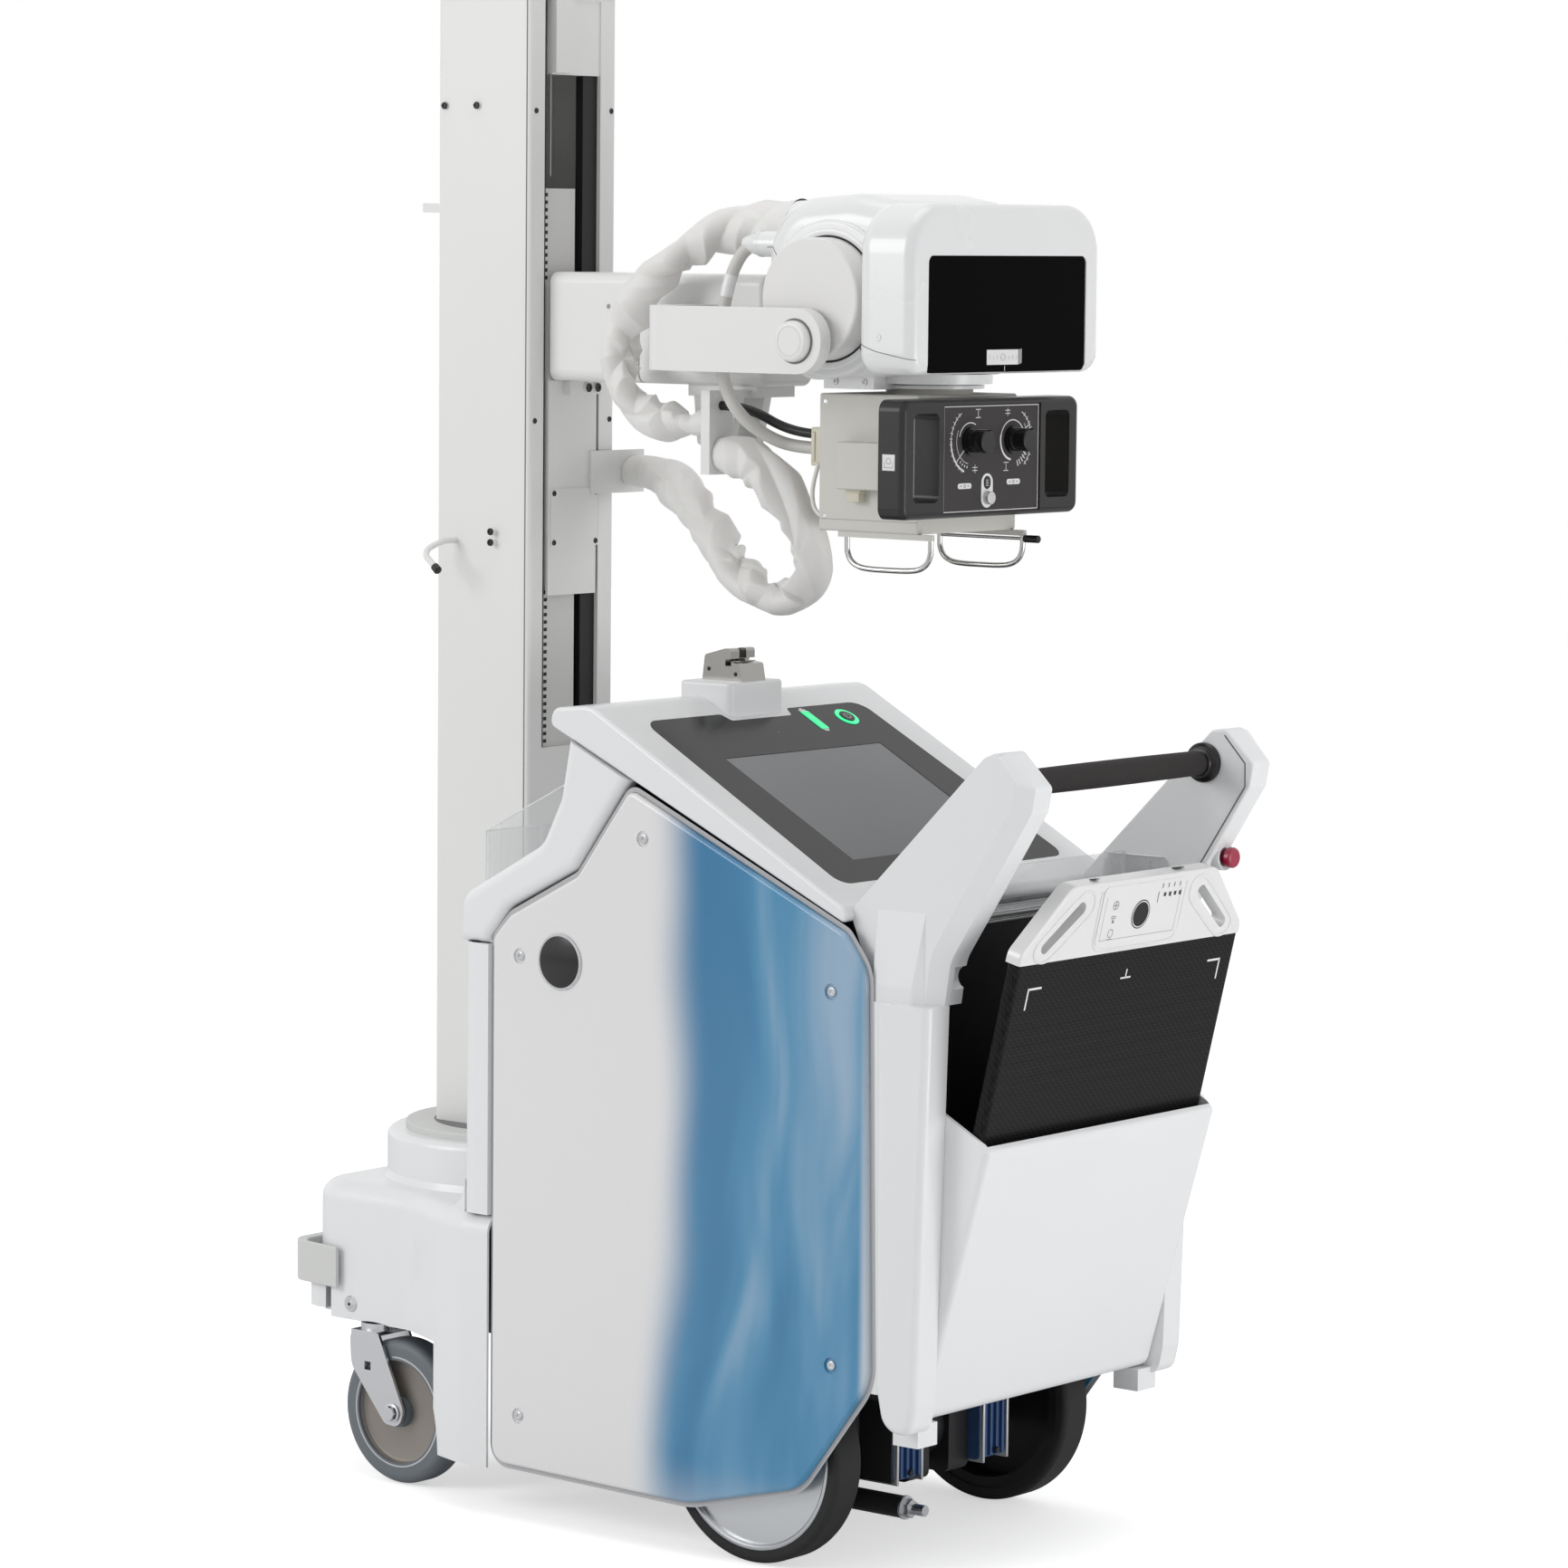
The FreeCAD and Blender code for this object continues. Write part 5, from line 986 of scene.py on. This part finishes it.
def followed(route, fine):
    """The points of the route's own smooth line, as Blender reads them."""
    guide = bpy.data.objects.new("guide", route_curve("guide", route, 0.0, sleeve_white, fine))
    bpy.context.scene.collection.objects.link(guide)
    line = bpy.data.meshes.new_from_object(guide)
    points = [v.co.copy() for v in line.vertices]
    bpy.data.meshes.remove(line)
    bpy.data.objects.remove(guide)
    return points


def inner_sides(path, tangents, reach=9):
    """At each point, the way towards the inside of the bend, turned smoothly along the tube."""
    count = len(path)
    pulls = []
    for i in range(count):
        pull = tangents[min(i + reach, count - 1)] - tangents[max(i - reach, 0)]
        pulls.append(pull - tangents[i] * pull.dot(tangents[i]))
    last = max(pulls[:count // 3], key=lambda pull: pull.length).normalized()
    sides = []
    for i in range(count):
        near = last * 0.5
        for j in range(max(0, i - 2 * reach), min(count, i + 2 * reach + 1)):
            near += pulls[j] * 0.6
        near -= tangents[i] * near.dot(tangents[i])
        last = near.normalized()
        sides.append(last)
    return sides


def fabric_dip(along, angle, folds):
    """How far the fabric sinks in: each fold is a sharp valley that forks as it runs round the tube."""
    dip = 0.0
    for where, deep, fan, wide, turn in folds:
        round_by = math.remainder(angle - turn, math.tau)
        fork = abs(round_by) * fan
        lean = fan * 0.5 * math.sin(round_by + where * 90)
        reach = max(0.0, math.cos(round_by * 0.56)) ** 1.2
        for branch in (fork, -fork):
            away = abs(along - where - branch - lean)
            dip = max(dip, deep * reach * max(0.0, 1 - away / wide))
    return dip


def sleeve_piece(name, body, route, fine, width, folds):
    """A thin fabric tube: width(t) is its radius, folds are (metres along, depth, fan, width, turn)."""
    path = followed(route, fine)
    count = len(path)
    tangents = [(path[min(i + 1, count - 1)] - path[max(i - 1, 0)]).normalized() for i in range(count)]
    sides = inner_sides(path, tangents)
    spans = [0.0]
    for a, b in zip(path, path[1:]):
        spans.append(spans[-1] + (b - a).length)
    around = 96
    vertices, faces = [], []
    for i in range(count):
        t = spans[i] / spans[-1]
        across = tangents[i].cross(sides[i])
        for k in range(around):
            angle = math.tau * k / around
            if angle > math.pi:
                angle -= math.tau
            ring = Vector((math.cos(angle), math.sin(angle), 0))
            dip = fabric_dip(spans[i], angle, folds)
            slack = noise.noise(Vector((spans[i] * 11, ring.x * 0.6, ring.y * 0.6 + len(route))))
            flat = 1 + 0.08 * math.cos(2 * angle + 5 * t)
            radius = width(t) * flat * (1.05 + 0.05 * slack) - dip
            vertices.append(path[i] + (sides[i] * math.cos(angle) + across * math.sin(angle)) * radius)
    for i in range(count - 1):
        for k in range(around):
            a, b = i * around + k, i * around + (k + 1) % around
            faces.append((a, b, b + around, a + around))
    piece = mesh_piece(name, body, vertices, faces, sleeve_white, smooth=True)
    face_outward(piece.data)
    return piece, path, spans[-1]


UPPER_ROUTE = [(105.6, -60, 1640), (30, -60, 1640), (-26, -80, 1618), (-80, -95, 1584), (-128, -99, 1540),
               (-150, -101, 1484), (-142, -101, 1432), (-106, -98, 1398), (-58, -95, 1391), (-4.4, -95, 1391)]
LOWER_ROUTE = [(-313.6, 110, 1316), (-260, 110, 1316), (-206, 84, 1296), (-150, 52, 1270), (-98, 26, 1240),
               (-48, 8, 1206), (6, -10, 1180), (68, -26, 1174), (114, -44, 1200), (124, -60, 1250),
               (104, -78, 1302), (54, -95, 1354), (10.4, -95, 1354)]


def upper_width(t):
    """Wide at the head, slimmer down the arm and tied narrow at the clip."""
    body = 0.0282 + 0.0028 * max(0.0, 1 - t / 0.3)
    tie = max(0.0, (t - 0.86) / 0.14)
    return body - 0.0115 * min(1.0, tie * 2.2) ** 1.5


def lower_width(t):
    """Even, with a narrow tied collar at each end."""
    start = max(0.0, 1 - t / 0.08)
    end = max(0.0, (t - 0.92) / 0.08)
    return 0.028 - 0.0095 * start ** 1.4 - 0.0095 * end ** 1.4


upper_folds = [(0.055, 0.007, 0.02, 0.03, 1.2), (0.14, 0.017, 0.03, 0.042, -0.5),
               (0.19, 0.019, 0.018, 0.032, 0.4), (0.275, 0.014, 0.045, 0.05, -1.3),
               (0.33, 0.021, 0.018, 0.03, 0.15), (0.382, 0.023, 0.024, 0.036, -0.35),
               (0.445, 0.012, 0.02, 0.028, 0.7), (0.487, 0.009, 0.006, 0.014, -0.9)]
upper, upper_path, upper_long = sleeve_piece("sleeve_fabric_upper", "fork", UPPER_ROUTE, 36, upper_width,
                                             upper_folds)
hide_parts("sleeve_upper")
lower_folds = [(0.035, 0.008, 0.006, 0.016, 0.8), (0.12, 0.011, 0.045, 0.05, -1.0),
               (0.185, 0.015, 0.02, 0.034, 0.6), (0.262, 0.013, 0.05, 0.055, -0.4),
               (0.325, 0.021, 0.02, 0.032, 0.2), (0.372, 0.022, 0.026, 0.034, -0.5),
               (0.42, 0.02, 0.018, 0.03, 0.45), (0.47, 0.022, 0.03, 0.04, -0.2),
               (0.55, 0.013, 0.045, 0.05, 1.1), (0.61, 0.016, 0.018, 0.03, -0.6),
               (0.665, 0.008, 0.008, 0.018, 0.5)]
lower, lower_path, lower_long = sleeve_piece("sleeve_fabric_lower", "arm", LOWER_ROUTE, 36, lower_width,
                                             lower_folds)
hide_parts("sleeve_lower")
HOSE_ROUTE = [(79.6, -100, 1616), (56, -100, 1616), (40, -112, 1584), (34, -121, 1538), (32, -125, 1490),
              (38, -126, 1442), (60, -120, 1402), (84, -86, 1374), (108, -62, 1364), (146.6, -62, 1364)]
hose = placed("head_hose_line", route_curve("head_hose_line", HOSE_ROUTE, 0.008, hose_grey), "head")
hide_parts("head_hose")
hose_line = followed(HOSE_ROUTE, 12)
boot = [(0.0163, 0.0), (0.0163, 0.004), (0.0148, 0.006), (0.0135, 0.012), (0.0112, 0.02), (0.0096, 0.026),
        (0.0083, 0.029)]
relief = lathe("hose_boot", "head", (0.0803, -0.1, 1.616), (-1, 0, 0), boot, head_paint, steps=40)
band = thread("hose_band", "head", hose_line[22:31], 0.0084, head_paint)
CABLE_ROUTE = [(10.4, -95, 1414), (52, -95, 1414), (104, -70, 1382), (146.6, -70, 1382)]
cable = placed("black_cable_line", route_curve("black_cable_line", CABLE_ROUTE, 0.006, cable_black), "fork")
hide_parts("black_cable")

# Camera and light.
# The camera stands where the photograph was taken from. One broad light at the front left, two
# weaker ones low at the rear and overhead, and a bright room give the even studio look.

camera_data = bpy.data.cameras.new("photo_camera")
camera_data.sensor_width = 36.0
camera_data.lens = 129.39
camera_data.clip_end = 60.0
camera = bpy.data.objects.new("photo_camera", camera_data)
turn = Matrix(((0.77599883, -0.0687973, 0.62697109), (0.630662, 0.06957653, -0.77293243),
               (0.00955319, 0.99520151, 0.09737915)))
camera.matrix_world = Matrix.Translation((4.5234, -5.5277, 1.6301)) @ turn.to_4x4()
bpy.context.scene.collection.objects.link(camera)
bpy.context.scene.camera = camera


def soft_light(name, place, target, size, power):
    data = bpy.data.lights.new(name, "AREA")
    data.shape = "DISK"
    data.size = size
    data.energy = power
    lamp = bpy.data.objects.new(name, data)
    lamp.location = place
    lamp.rotation_mode = "QUATERNION"
    lamp.rotation_quaternion = (Vector(target) - Vector(place)).to_track_quat("-Z", "Y")
    bpy.context.scene.collection.objects.link(lamp)


soft_light("key_light", (-2.4, -4.2, 2.7), (-0.1, 0, 0.7), 2.6, 80)
soft_light("low_light", (3.3, 0.5, 0.6), (0.45, 0, 0.35), 1.8, 34)
soft_light("top_light", (0.2, 0, 4.4), (0, 0, 0), 3.0, 33)
world = bpy.data.worlds.new("studio")
world.use_nodes = True


def seen_ray(tree, *kinds):
    """A value that is 1 for rays of these kinds and 0 for the light that falls on the object."""
    path = tree.nodes.new("ShaderNodeLightPath").outputs
    total = path[kinds[0]]
    for kind in kinds[1:]:
        total = add_math(tree, "MAXIMUM", total, path[kind])
    return total


seen = seen_ray(world.node_tree, "Is Camera Ray", "Is Glossy Ray", "Is Transmission Ray")
feed(world.node_tree, world.node_tree.nodes["Background"],
     {"Color": (1, 1, 1, 1), "Strength": add_range(world.node_tree, seen, 0.0, 1.0, 0.5, 1.0)})
bpy.context.scene.world = world
bpy.context.scene.view_settings.view_transform = "Standard"

floor_data = bpy.data.meshes.new("floor")
reach = 14.0
floor_data.from_pydata([(-reach, -reach, -0.001), (reach, -reach, -0.001), (reach, reach, -0.001),
                        (-reach, reach, -0.001)], [], [(0, 1, 2, 3)])
floor_paint = finish("floor_paint", (0.9, 0.9, 0.9), rough=0.8, scale=20, depth=0.01, shade=0.99)
glow = add_math(floor_paint.node_tree, "MULTIPLY", seen_ray(floor_paint.node_tree, "Is Camera Ray"), 0.55)
feed(floor_paint.node_tree, skin_of(floor_paint),
     {"Emission Color": (1, 1, 1, 1), "Emission Strength": glow})
floor_data.materials.append(floor_paint)
floor = bpy.data.objects.new("floor", floor_data)
bpy.context.scene.collection.objects.link(floor)
